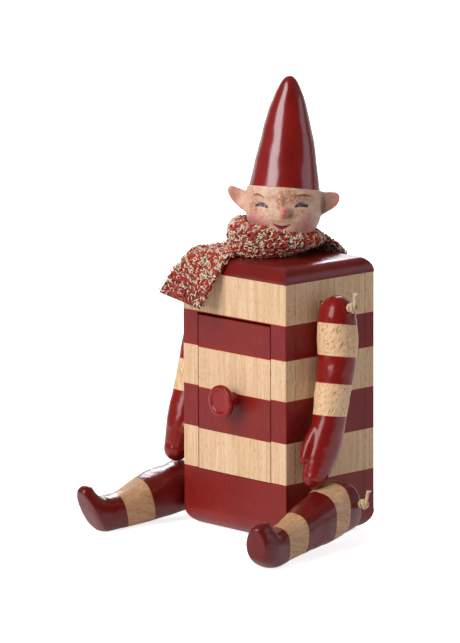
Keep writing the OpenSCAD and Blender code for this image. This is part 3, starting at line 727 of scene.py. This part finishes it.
mottle = cloud(face_space, 0.45, 5, 0.65)
skin = ramp(mottle, [(0.3, "#c49579"), (0.5, "#d9b093"), (0.72, "#e8c9ae")])
in_front = maths("LESS_THAN", face_y, -2)
freckles = ramp(cloud(face_space, 0.8, 4, 0.7), [(0.4, 0), (0.56, 0.95)])
# Thin brown washes over the flesh, which the sandpaper has broken up
BROWN_PATCHES = [(-1, 30, 2.6, 6.5, 1), (-0.8, 28, 2.4, 5, 1), (4, 31.5, 6, 4.5, 0.9),
                 (9.5, 30, 7, 3.5, 0.7), (-14.6, 26, 4, 9, 0.9), (9, 23.4, 6, 3.5, 0.6),
                 (-9.5, 23.8, 5, 2.4, 0.5), (-6, 31, 5, 3, 0.4), (0.5, 19.6, 3, 1.6, 0.5)]
for x, z, wide, tall, strength in BROWN_PATCHES:
    skin = painted(skin, "#a8683c", soft_spot(x, z, wide, tall), freckles, in_front, strength)
ROSY = [(-12.9, 19, 6.4, 5.2, 0.42), (-14.6, 17.8, 3.4, 3, 0.4), (13, 17.8, 6, 5.6, 0.46),
        (0.2, 12, 5, 2.6, 0.2)]
for x, z, wide, tall, strength in ROSY:
    skin = painted(skin, "#c9697a", soft_spot(x, z, wide, tall), in_front, strength)
nose_ball = times(soft_spot(NOSE_TIP[0], NOSE_TIP[2] + 0.1, 2.9, 2.7),
                  maths("LESS_THAN", face_y, -19.2))
skin = painted(skin, "#cd6266", nose_ball)
# Painted shade and shadow on the nose's right side and under it
NOSE_PAINTED_SHADE = [(2.4, 21.2, 3.4, 1.9, 0.6), (4.6, 23.2, 2.2, 3.6, 0.55), (0.9, 26, 1.3, 3, 0.35)]
behind_nose = maths("GREATER_THAN", face_y, -19.8)
for x, z, wide, tall, strength in NOSE_PAINTED_SHADE:
    skin = painted(skin, "#80594a", soft_spot(x, z, wide, tall), in_front, behind_nose, strength)
ear_side = maths("SUBTRACT", maths("ABSOLUTE", face_x), 19.5)
skin = painted(skin, "#d27f76", remapped(ear_side, 0, 8, 0, 0.78))
# Painted shade in the crease where the left ear meets the head
skin = painted(skin, "#6b4a40", soft_spot(19.9, 24.5, 1.7, 7.5), 0.6)

# Dark grey paint for the eyes; its light grey patches are painted highlights
lash_with_painted_glints = ramp(cloud(face_space, 1.3, 1), [(0.4, "#24201c"), (0.54, "#544a42"), (0.66, "#988d84")])
for x, z, tilt in ((-10.3, 26.3, 0), (9.7, 27.3, -0.08)):
    # A light stroke under each eye is a painted highlight on the lower lid
    lower_lid_highlight = brush_stroke(x, z - 1.5, 2.3, 0.4, -0.1, tilt, 0.4)
    skin = painted(skin, "#dcb697", lower_lid_highlight, in_front, 0.7)
    skin = painted(skin, lash_with_painted_glints, brush_stroke(x, z, 3.1, 0.95, -0.11, tilt, 0.45), in_front)
    for end, drop in ((-2.6, 0.75), (2.5, 0.7)):
        skin = painted(skin, "#2a2628", soft_spot(x + end, z - drop, 1.2, 0.95), in_front, 0.95)
for x, z, length, bend, tilt in ((-12.1, 31.1, 3, -0.13, -0.1), (9.9, 32.2, 4, -0.05, 0)):
    brow = brush_stroke(x, z, length, 0.42, bend, tilt)
    skin = painted(skin, "#8a4a2c", brow, in_front, 0.95)

# The mouth is the gap between two arcs that meet at its corners
MOUTH_X = 0.2
MOUTH_Z = 17.6
MOUTH_HALF = 4.8
from_middle = maths("DIVIDE", maths("SUBTRACT", face_x, MOUTH_X), MOUTH_HALF)
open_share = maths("SUBTRACT", 1, times(from_middle, from_middle))
depth = maths("SUBTRACT", MOUTH_Z, face_z)
under_top = maths("SUBTRACT", times(open_share, 1.35), depth)
over_bottom = maths("SUBTRACT", depth, times(open_share, 3.1))
to_side = maths("ABSOLUTE", from_middle)
to_lip = maths("ABSOLUTE", over_bottom)
# A light line along the lower lip is a painted highlight
skin = painted(skin, "#e8bda2", soft_step(to_lip, 0.25, 0.8), in_front,
               soft_step(to_side, 0.8, 1), 0.55)
tongue = mix_colour(soft_step(to_lip, 0.5, 1.3), "#3c1014", "#9c2044")
skin = painted(skin, tongue, soft_step(under_top, 0, 0.18), soft_step(over_bottom, 0, 0.18), in_front,
               soft_step(to_side, 0.98, 1.04))
wire(shader, {
    "Base Color": skin, "Roughness": maths("MULTIPLY_ADD", nose_ball, -0.28, 0.5),
    "Normal": add(tree, "Bump", {"Height": mottle}, {"Strength": 0.6, "Distance": 0.06 * MM})})
fitted(head, flesh, "head", "head")


# The hat: shaped by hand to a tall blunt cone and glued on the head, then
# painted and varnished to a high gloss; its surface is a little uneven.
HAT_R = 17.9
HAT_H = 56.6
HAT_BEND = math.tan(math.radians(BRIM_TILT)) * HAT_H / 2
HAT_RINGS = 30
HAT_DENTS = [(0.5, 13), (0.18, 5)]


def hat_ring(share):
    """A ring of the hat at a share of its height over the brim's middle."""
    radius = HAT_R * math.sqrt(max(1 - share, 0.0001))
    middle = Vector((0, HAT_BEND * (2 * share - share * share), HEAD_H + HAT_H * share))
    slope = -HAT_BEND * 2 * (1 - share) / HAT_H
    tilted = Matrix.Rotation(math.atan(slope), 4, "X")
    return Matrix.Translation(middle) @ tilted @ Matrix.Diagonal((radius, radius, 1, 1))


bm = bmesh.new()
shares = [-0.04] + [u * (2 - u) for u in (i / HAT_RINGS for i in range(HAT_RINGS))]
ring_tube(bm, [hat_ring(share) for share in shares] + [hat_ring(0.9994)], 72)
sliced(bm, (0, 0, HEAD_H), BRIM_WAY, clear_inner=True)
close_holes(bm)
for vert in bm.verts:
    sideways = Vector((vert.co.x, vert.co.y - HAT_BEND * 0.5, 0))
    if sideways.length > 1:
        vert.co += sideways.normalized() * unevenness(vert.co, HAT_DENTS)
bmesh.ops.recalc_face_normals(bm, faces=bm.faces)
moved(bm, head_place)
hat = finished(bm, "varnished_hat")
shade_by_angle(hat, 40)
hat_gloss = gloss_paint("varnished_gloss_paint_on_hat", "#8a130e", "#700b08", 0.22, 0.75, 4, 0.1, 0.12)
fitted(hat, hat_gloss, "head", "hat")


# The arms and legs: carved from round beech, banded with the same paint and
# varnished, a little bumpy from the knife; each is bored across for its cord.
SHOULDER = Vector((0, -6, 120.5))
HIP = Vector((0, -5.5, 21))
ARM_X = 48.4
LEG_X = 51.3
ARM_R = 9.9
LEG_R = 12.8
# 2 is a round limb, and more is squarer
ARM_SQUARENESS = 2.3
LEG_SQUARENESS = 2.7
SOLE_FLATNESS = 0.85
LIMB_MARKS = [(0.22, 7), (0.07, 2.4)]
# Each row: back, up, half depth and half width for a limb of radius 1
LEFT_ARM_ROWS = [
    (0, -7, 0.94, 0.94), (0.3, -17, 1, 1), (0.1, -26.5, 0.94, 0.96), (-1.6, -36, 0.91, 0.92),
    (-3.6, -46, 0.86, 0.87), (-5.4, -56, 0.83, 0.8), (-7.6, -64.5, 0.91, 0.75), (-10.2, -72, 0.9, 0.7),
    (-13.2, -79, 0.8, 0.63), (-16, -85, 0.63, 0.54)]
RIGHT_ARM_ROWS = [
    (0, -7, 0.94, 0.94), (0.3, -17, 1, 1), (0.1, -26.5, 0.96, 0.97), (-1.9, -36, 0.95, 0.96),
    (-4.2, -46, 0.94, 0.94), (-6.4, -56, 0.95, 0.9), (-8.6, -64.5, 1.02, 0.88), (-10.9, -72, 0.98, 0.84),
    (-13.4, -79, 0.84, 0.74), (-16, -85, 0.66, 0.6)]
# Balls that the thumb's skin is drawn round: a place and a radius
LEFT_THUMB = [((-1.5, -12.8, -62), 4), ((-2.2, -17.3, -69), 3.8), ((-2.4, -20, -75.2), 3.1)]
RIGHT_THUMB = [((-4, -9, -60), 4), ((-5.5, -12.6, -67), 3.8), ((-6, -15.4, -73), 3.1)]
LEFT_LEG_ROWS = [
    (-2, -1.1, 0.99, 0.97), (-10, -2.3, 0.98, 0.98), (-17.1, -4.1, 0.94, 0.96), (-26, -5.7, 0.9, 0.92),
    (-36.5, -7.7, 0.79, 0.81), (-46, -9.6, 0.7, 0.72), (-54.7, -11, 0.66, 0.66), (-61, -12, 0.68, 0.63),
    (-66, -11.9, 0.68, 0.64), (-69.4, -9.9, 0.68, 0.62), (-71.4, -6.6, 0.64, 0.56), (-72.3, -2.8, 0.56, 0.47),
    (-72.7, -0.2, 0.46, 0.35)]
RIGHT_LEG_ROWS = [
    (-2, -2.1, 0.96, 0.96), (-10, -3.3, 0.96, 0.97), (-17.8, -5.3, 0.94, 0.96), (-25.8, -6.2, 0.96, 0.94),
    (-35.6, -7.7, 0.93, 0.86), (-45.8, -10, 0.81, 0.77), (-53, -11.4, 0.73, 0.7), (-60, -12, 0.7, 0.64),
    (-67, -12, 0.71, 0.61), (-72, -10.6, 0.65, 0.57), (-75.6, -6.8, 0.56, 0.51), (-77.8, -2.4, 0.41, 0.42),
    (-78.8, 0.9, 0.3, 0.33)]


def limb_rings(rows, size, start_cap, end_cap):
    """Rings square to the limb's middle line, with a dome at each end."""
    path = smooth_path([(y, z, deep * size, wide * size) for y, z, deep, wide in rows], 4)
    steps = 7
    first = (Vector(path[0][:2]) - Vector(path[1][:2])).normalized()
    last = (Vector(path[-1][:2]) - Vector(path[-2][:2])).normalized()

    def dome(row, way, cap):
        made = []
        for j in range(1, steps):
            a = math.pi / 2 * j / steps
            there = Vector(row[:2]) + way * cap * math.sin(a)
            made.append((there.x, there.y, row[2] * math.cos(a), row[3] * math.cos(a)))
        return made

    path = dome(path[0], first, start_cap)[::-1] + path + dome(path[-1], last, end_cap)
    rings = []
    for i, (y, z, deep, wide) in enumerate(path):
        before = Vector(path[max(i - 1, 0)][:2])
        after = Vector(path[min(i + 1, len(path) - 1)][:2])
        way = (after - before).normalized()
        square = Matrix(((1, 0, 0, 0), (0, -way.y, way.x, 0), (0, way.x, way.y, 0), (0, 0, 0, 1)))
        rings.append(Matrix.Translation((0, y, z)) @ square @ Matrix.Diagonal((wide, deep, 1, 1)))
    return rings


def carved_limb(node, rings, squareness, place, material, thumb=(), sole=None):
    """A limb carved round its rings, with a thumb or a flat sole, at its place."""
    bm = bmesh.new()
    ring_tube(bm, rings, 40, squareness)
    if thumb:
        add_hull(bm, thumb, 3)
    bm = remeshed(bm, 0.5, 5)
    if sole:
        on_sole, way = Vector(sole[0]), Vector(sole[1]).normalized()
        for vert in bm.verts:
            over = way.dot(vert.co - on_sole)
            if over > 0:
                vert.co -= way * over * SOLE_FLATNESS
        smoothed(bm, 1)
    for vert in bm.verts:
        vert.co += vert.normal * unevenness(vert.co, LIMB_MARKS)
    moved(bm, Matrix.Scale(MM, 4) @ place)
    if place.determinant() < 0:
        bmesh.ops.reverse_faces(bm, faces=bm.faces)
    fitted(finished(bm, f"carved_{node}"), material, node, node)


mirrored = Matrix.Diagonal((-1, 1, 1, 1))
ARM_BANDS = [61.1, 77.9, 91.6, 108.3]
RIGHT_ARM_DROP = 1.3
ARM_LOOK = dict(paint="#86110d", pale="#ecca9e", dark="#d6ac7e", flecks=0.8, fleck_width=0.55,
                paint_gloss=0.26, coat=0.25, pores=0.12)
left_arm_finish = banded_beech("banded_varnish_on_left_arm", (-0.047, 0.165, 1), ARM_BANDS,
                               (-0.43, 0.44, 0), **ARM_LOOK)
right_arm_finish = banded_beech("banded_varnish_on_right_arm", (0.047, 0.165, 1),
                                [e - RIGHT_ARM_DROP for e in ARM_BANDS], (-0.43, -0.44, 0), **ARM_LOOK)
arm_place = Matrix.Translation(SHOULDER + Vector((ARM_X, 0, 0)))
carved_limb("left_arm", limb_rings(LEFT_ARM_ROWS, ARM_R, start_cap=12.2, end_cap=5.5), ARM_SQUARENESS,
            arm_place, left_arm_finish, LEFT_THUMB)
carved_limb("right_arm", limb_rings(RIGHT_ARM_ROWS, ARM_R, start_cap=12.2, end_cap=6.6), ARM_SQUARENESS,
            mirrored @ arm_place @ turned_by(-2.5, "Y") @ turned_by(-0.5, "X"), right_arm_finish, RIGHT_THUMB)


def leg_finish(name, side, way, edges):
    """Bands across a leg, at distances from its hip along the given way."""
    way = Vector(way).normalized()
    start = way.dot(Vector((LEG_X * side, HIP.y, HIP.z)))
    # The paint and the beech are darker than the arms': painted shade on the legs
    return banded_beech(name, way, [e + start for e in edges], (math.pi / 2 - 0.25, 0, 0.1 * side),
                        paint="#620e0b", pale="#cca680", dark="#b2885f", flecks=0.6, fleck_width=0.6,
                        paint_gloss=0.3, coat=0.2, pores=0.15)


# The masking tape went round a little askew, so the bands lean inwards
left_leg_finish = leg_finish("banded_varnish_on_left_leg", 1, (-0.05, -1, 0.06), [7.1, 18.7, 39.5, 54.1])
right_leg_finish = leg_finish("banded_varnish_on_right_leg", -1, (-0.22, -0.945, -0.235),
                              [-3, 9, 39.8, 56.5])
# A place on each sole and its direction outwards
LEFT_SOLE = ((0, -77.6, -6), (0, -1, -0.1))
RIGHT_SOLE = ((0, -77.5, -7.5), (0, -0.84, -0.5))
leg_place = Matrix.Translation(HIP + Vector((LEG_X, 0, 0)))
carved_limb("left_leg", limb_rings(LEFT_LEG_ROWS, LEG_R, start_cap=4.8, end_cap=3.2), LEG_SQUARENESS,
            leg_place @ turned_by(12.5, "Z"), left_leg_finish, sole=LEFT_SOLE)
carved_limb("right_leg", limb_rings(RIGHT_LEG_ROWS, LEG_R, start_cap=7.5, end_cap=3.2), LEG_SQUARENESS,
            mirrored @ leg_place @ turned_by(1.5, "Z"), right_leg_finish, sole=RIGHT_SOLE)


# The cords: unbleached cotton of three twisted strands, run through the box
# and two limbs, stopped by an overhand knot at each end with a frayed tail.
STRAND_R = 0.48
STRAND_OFF = 0.42
TWIST = 4.2
FIBRE_R = 0.1
FIBRES = 26
# Between the box and the limb the cord sags a little
SAG = (39, 0.3, -0.35)
cotton = mottled("twisted_unbleached_cotton", 0.85, 0.5, [(0.3, "#b39468"), (0.6, "#dcc49b")], 3)
# The loose fibres are paler than the cord, and partly a painted highlight
fray_and_sheen = mottled("frayed_ends_in_painted_sheen", 0.9, 0.8, [(0.3, "#d8c8a8"), (0.6, "#f6f0e4")])
# Two turns round the cord, the second crossing the first, and the tail up
KNOT = [
    (-7, 0, 0), (-3, 0, 0), (-1.6, -0.3, -0.9), (-1.4, -1.2, -1.2), (-1.5, -1.75, 0), (-1.3, -1.2, 1.3),
    (-0.9, 0, 1.8), (-0.6, 1.3, 1.2), (-0.3, 1.8, 0), (0.1, 1.2, -1.3), (0.6, 0, -1.8),
    (1.1, -1.3, -1.3), (1.2, -1.9, -0.1), (0.7, -1.7, 1.1), (0.2, -0.7, 1.9), (0.2, 0.6, 1.8),
    (0.8, 1.5, 0.8), (1.4, 1.2, -0.5), (1.7, 0.2, -0.9), (1.5, -0.5, 0.2)]


def round_curve(name, radius, resolution, materials):
    """An empty curve that draws its lines as round yarn or cord."""
    curve = bpy.data.curves.new(name, "CURVE")
    curve.dimensions = "3D"
    curve.bevel_depth = radius * MM
    curve.bevel_resolution = resolution
    for material in materials:
        curve.materials.append(material)
    return curve


def add_line(curve, points):
    """A line through the points, which are in millimetres."""
    line = curve.splines.new("POLY")
    line.points.add(len(points) - 1)
    for spot, at in zip(line.points, points):
        spot.co = (*(at * MM), 1)
    return line


def as_mesh(curve, name):
    """The curve's lines as one smooth mesh in the scene."""
    mesh = mesh_of(in_scene(name + "_line", curve))
    mesh.name = name
    mesh.shade_smooth()
    return in_scene(name, mesh)


def capped_tubes(name, lines, radius, material, resolution=2):
    """Round tubes with closed ends along lists of points, as one mesh."""
    curve = round_curve(name, radius, resolution, [material])
    curve.use_fill_caps = True
    for line in lines:
        add_line(curve, line)
    return as_mesh(curve, name)


def strands_round(path):
    """Three strands twisted round a path."""
    made = [[], [], []]
    run = 0
    side = Vector((0, 1, 0))
    for i, here in enumerate(path):
        way = (path[min(i + 1, len(path) - 1)] - path[max(i - 1, 0)]).normalized()
        side = (side - way * side.dot(way)).normalized()
        other = way.cross(side)
        if i:
            run += (here - path[i - 1]).length
        for k in range(3):
            a = math.tau * (run / TWIST + k / 3)
            made[k].append(here + (side * math.cos(a) + other * math.sin(a)) * STRAND_OFF)
    return made


def knotted_cord(name, centre, knot_x, knot_rise, forward, sideways, node, seed):
    """A cord along X, knotted at each end; its tails lean by so many degrees."""
    forward, sideways = math.radians(forward), math.radians(sideways)
    knot = [(knot_x + x, y, z + (knot_rise if x > -3 else 0)) for x, y, z in KNOT]
    tail_way = Vector((math.sin(sideways), math.sin(-forward), math.cos(forward))).normalized()
    tail_foot = Vector((knot_x + 1.2, -0.5, 0.6 + knot_rise))
    for step in (1.2, 2.8, 4.4, 6):
        sway = Vector((0.15 * math.sin(step), 0.2 * math.sin(step * 0.8), 0))
        knot.append(tuple(tail_foot + tail_way * step + sway))
    half = smooth_path([(0, 0, 0), (knot_x * 0.5, 0, 0), SAG] + knot, 9)
    strands = []
    fibres = []
    rng = random.Random(seed)
    for side in (-1, 1):
        line = [Vector((x * side, y, z)) + centre for x, y, z in half]
        strands += strands_round(line)
        tip = line[-1]
        way = (tip - line[-4]).normalized()
        for _ in range(FIBRES):
            bend = Vector((rng.uniform(-1, 1), rng.uniform(-1, 1), rng.uniform(-0.2, 0.6)))
            root = tip - way * rng.uniform(0, 0.8) + bend * 0.35
            end = root + (way + bend * 0.8) * rng.uniform(0.8, 1.3)
            fibres.append([root, root + (way + bend * 0.4) * 0.5, end])
    cord = capped_tubes(name, strands, STRAND_R, cotton)
    fray = capped_tubes(name + "_fray", fibres, FIBRE_R, fray_and_sheen, 0)
    for piece in (cord, fray):
        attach(piece, "body")
    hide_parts(node)


knotted_cord("twisted_shoulder_cord", SHOULDER, knot_x=59.25, knot_rise=0, forward=-12, sideways=2,
             node="shoulder_cord", seed=7)
knotted_cord("twisted_hip_cord", HIP, knot_x=66.9, knot_rise=1.2, forward=-8, sideways=16,
             node="hip_cord", seed=8)


# The scarf: a strip knitted from curly yarn in red and cream, wound once round
# the neck, with one end over the front of the box and one over its back.
CLOTH_T = 1.2
LID_TOP = 140
NECK_Y = 2.4
# The wound roll leans: it is high and wide under the right ear, tight under the
# chin and lifted off the lid under the left ear; directions are in degrees
WRAP_OFF_LID = 1.7
WRAP_R = 20
WRAP_HALF_T = 3.9
WRAP_HALF_H = 6
WRAP_RISE = 1.75
WRAP_BULGE = 2.7
WRAP_HIGH_AT = 227
CHIN_AT = 335
CHIN_TIGHT = 4.2
CHIN_TUCK = 5
LIFT_AT = 38
LIFT = 3.5
# Each end's two edges, from where it leaves the roll to its fringe
FRONT_END = [
    ((-25, 3, 4), (-17, 1, 4)), ((-28.5, -5, 2.7), (-14, -7, 2.7)),
    ((-32, -12, 2.2), (-9.5, -15, 2.1)), ((-33.6, -19, 2), (-7.2, -21.5, 2)),
    ((-34, -26, 1.8), (-6.8, -27.2, 1.2)), ((-34.4, -31.2, -1.2), (-7.2, -31.8, -2.5)),
    ((-34.9, -36, -5.4), (-8, -35.4, -8.2)), ((-35.8, -41.4, -10.4), (-9, -39.8, -15)),
    ((-37.2, -47, -18.4), (-10.8, -44.4, -24))]
BACK_END = [
    ((-9, 21, 11), (8, 17.5, 10.6)), ((-10, 24, 9), (13, 21.5, 7.4)),
    ((-10.5, 28, 4.5), (15.4, 27, 3.4)), ((-11, 32, -0.8), (15.5, 31.8, -1)),
    ((-11, 34.4, -8), (16, 34.4, -8)), ((-11.2, 34.6, -16), (16.6, 34.6, -16)),
    ((-11.5, 34.2, -22.5), (16.5, 34.4, -22.5))]


def wrap_point(turn, round_share):
    """A point on the wound roll, at a turn round the neck and round its section."""
    a = math.tau * turn
    b = math.tau * round_share
    high = math.cos(a - math.radians(WRAP_HIGH_AT))
    half_h = WRAP_HALF_H + WRAP_RISE * high
    under_chin = max(0, math.cos(a - math.radians(CHIN_AT))) ** 2
    z = LID_TOP + WRAP_OFF_LID + half_h + half_h * math.sin(b)
    z += LIFT * max(0, math.cos(a - math.radians(LIFT_AT))) ** 4 * (1 - math.sin(b)) / 2
    r = WRAP_R + WRAP_BULGE * high - CHIN_TIGHT * under_chin + WRAP_HALF_T * math.cos(b)
    r -= CHIN_TUCK * under_chin * max(0, -math.sin(b))
    return Vector((r * math.cos(a), NECK_Y + r * math.sin(a), z))


def hanging_end(stations):
    """The function that gives a point on a hanging end, like wrap_point."""
    path = smooth_path([(*a, *b) for a, b in stations], 6)

    def point(along, over):
        spot = along * (len(path) - 1)
        i = min(int(spot), len(path) - 2)
        row = [a + (b - a) * (spot - i) for a, b in zip(path[i], path[i + 1])]
        return Vector(row[:3]).lerp(Vector(row[3:]), over) + Vector((0, 0, LID_TOP))

    return point


def grid_surface(bm, point, long_steps, cross_steps):
    """A patch of cloth whose grid is moved to point(along, over)."""
    made = bmesh.ops.create_grid(bm, x_segments=long_steps, y_segments=cross_steps, size=0.5)["verts"]
    for vert in made:
        vert.co = point(min(max(vert.co.x + 0.5, 0), 1), min(max(vert.co.y + 0.5, 0), 1)) * MM


def outward(point, along, over, flip):
    """The cloth's direction outwards at a place, and one along it."""
    step = 0.004
    here = point(along, over)
    a = point(min(along + step, 1), over) - point(max(along - step, 0), over)
    b = point(along, over + step) - point(along, over - step)
    normal = a.cross(b).normalized() * flip
    return here, normal, a.normalized()


# The knitted ground under the curls is coloured dark as painted shade in the hollows between them
knit_ground_painted_shade = mottled("knitted_ground_in_painted_shade", 0.9, 1.6, [(0.4, "#5a1c15"), (0.6, "#7a4a3a")])
front_point = hanging_end(FRONT_END)
back_point = hanging_end(BACK_END)
bm = bmesh.new()
grid_surface(bm, wrap_point, 72, 20)
grid_surface(bm, front_point, 40, 12)
grid_surface(bm, back_point, 30, 12)
bmesh.ops.remove_doubles(bm, verts=bm.verts, dist=1e-5)
bmesh.ops.recalc_face_normals(bm, faces=bm.faces)
ground = finished(bm, "scarf_ground")
thick = ground.modifiers.new("yarn_depth", "SOLIDIFY")
thick.thickness = CLOTH_T * MM
thick.offset = 0
ground.data.materials.append(knit_ground_painted_shade)

# Curly wool yarn: soft, with short fibres; the darker hollows between its curls are the ground's painted
# shade
red_yarn = mottled("red_curled_wool_yarn", 0.9, 0.7, [(0.3, "#992a1d"), (0.62, "#d64c37")])
cream_yarn = mottled("cream_curled_wool_yarn", 0.9, 0.7, [(0.3, "#bda688"), (0.62, "#f0e2ca")])
CURL_R = 0.33
CURL_SPACING = 1.12
CURL_STEPS = 5
# The cloth that the curls cover: round the neck, round the roll, and each end
WRAP_LENGTH = 132
WRAP_GIRTH = 40
FRONT_LENGTH = 58
BACK_LENGTH = 40
END_WIDTH = 27


def curls(name, patches, seed):
    """Loops of yarn standing on patches of (point, length, width, flip)."""
    rng = random.Random(seed)
    curve = round_curve(name, CURL_R, 0, [red_yarn, cream_yarn])
    for point, length, width, flip in patches:
        for i in range(int(length / CURL_SPACING)):
            for j in range(int(width / CURL_SPACING) + 1):
                along = (i + rng.random()) * CURL_SPACING / length
                over = (j - 0.5 + rng.random()) * CURL_SPACING / width
                here, normal, way = outward(point, min(along, 1), over, flip)
                lean = rng.uniform(-1.1, 1.1) + 0.6
                first = (way * math.cos(lean) + normal.cross(way) * math.sin(lean)).normalized()
                second = normal * rng.uniform(0.5, 1) + first.cross(normal) * rng.uniform(-0.8, 0.8)
                second.normalize()
                radius = rng.uniform(0.65, 1.05)
                start = rng.uniform(-0.6, 0.3)
                sweep = rng.uniform(2.6, 4.4)
                drift = first.cross(second) * rng.uniform(-0.9, 0.9)
                middle = here + normal * rng.uniform(0, 0.7)
                points = []
                for k in range(CURL_STEPS + 1):
                    a = start + sweep * k / CURL_STEPS
                    bow = (first * math.cos(a) + second * math.sin(a)) * radius
                    points.append(middle + bow + drift * (k / CURL_STEPS - 0.5))
                clump = noise.noise(here / 1.7) + rng.uniform(-0.4, 0.4)
                add_line(curve, points).material_index = 0 if clump > -0.02 else 1
    return as_mesh(curve, name)


wrap_curls = curls("scarf_wrap_curls", [(wrap_point, WRAP_LENGTH, WRAP_GIRTH, 1)], 1)
front_curls, back_curls = (
    curls(f"scarf_{end}_curls", [(point, length, END_WIDTH, flip) for flip in (1, -1)], seed)
    for end, point, length, seed in (("front", front_point, FRONT_LENGTH, 2),
                                     ("back", back_point, BACK_LENGTH, 3)))
for piece in (ground, wrap_curls, front_curls, back_curls):
    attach(piece, "body")
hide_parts("scarf")
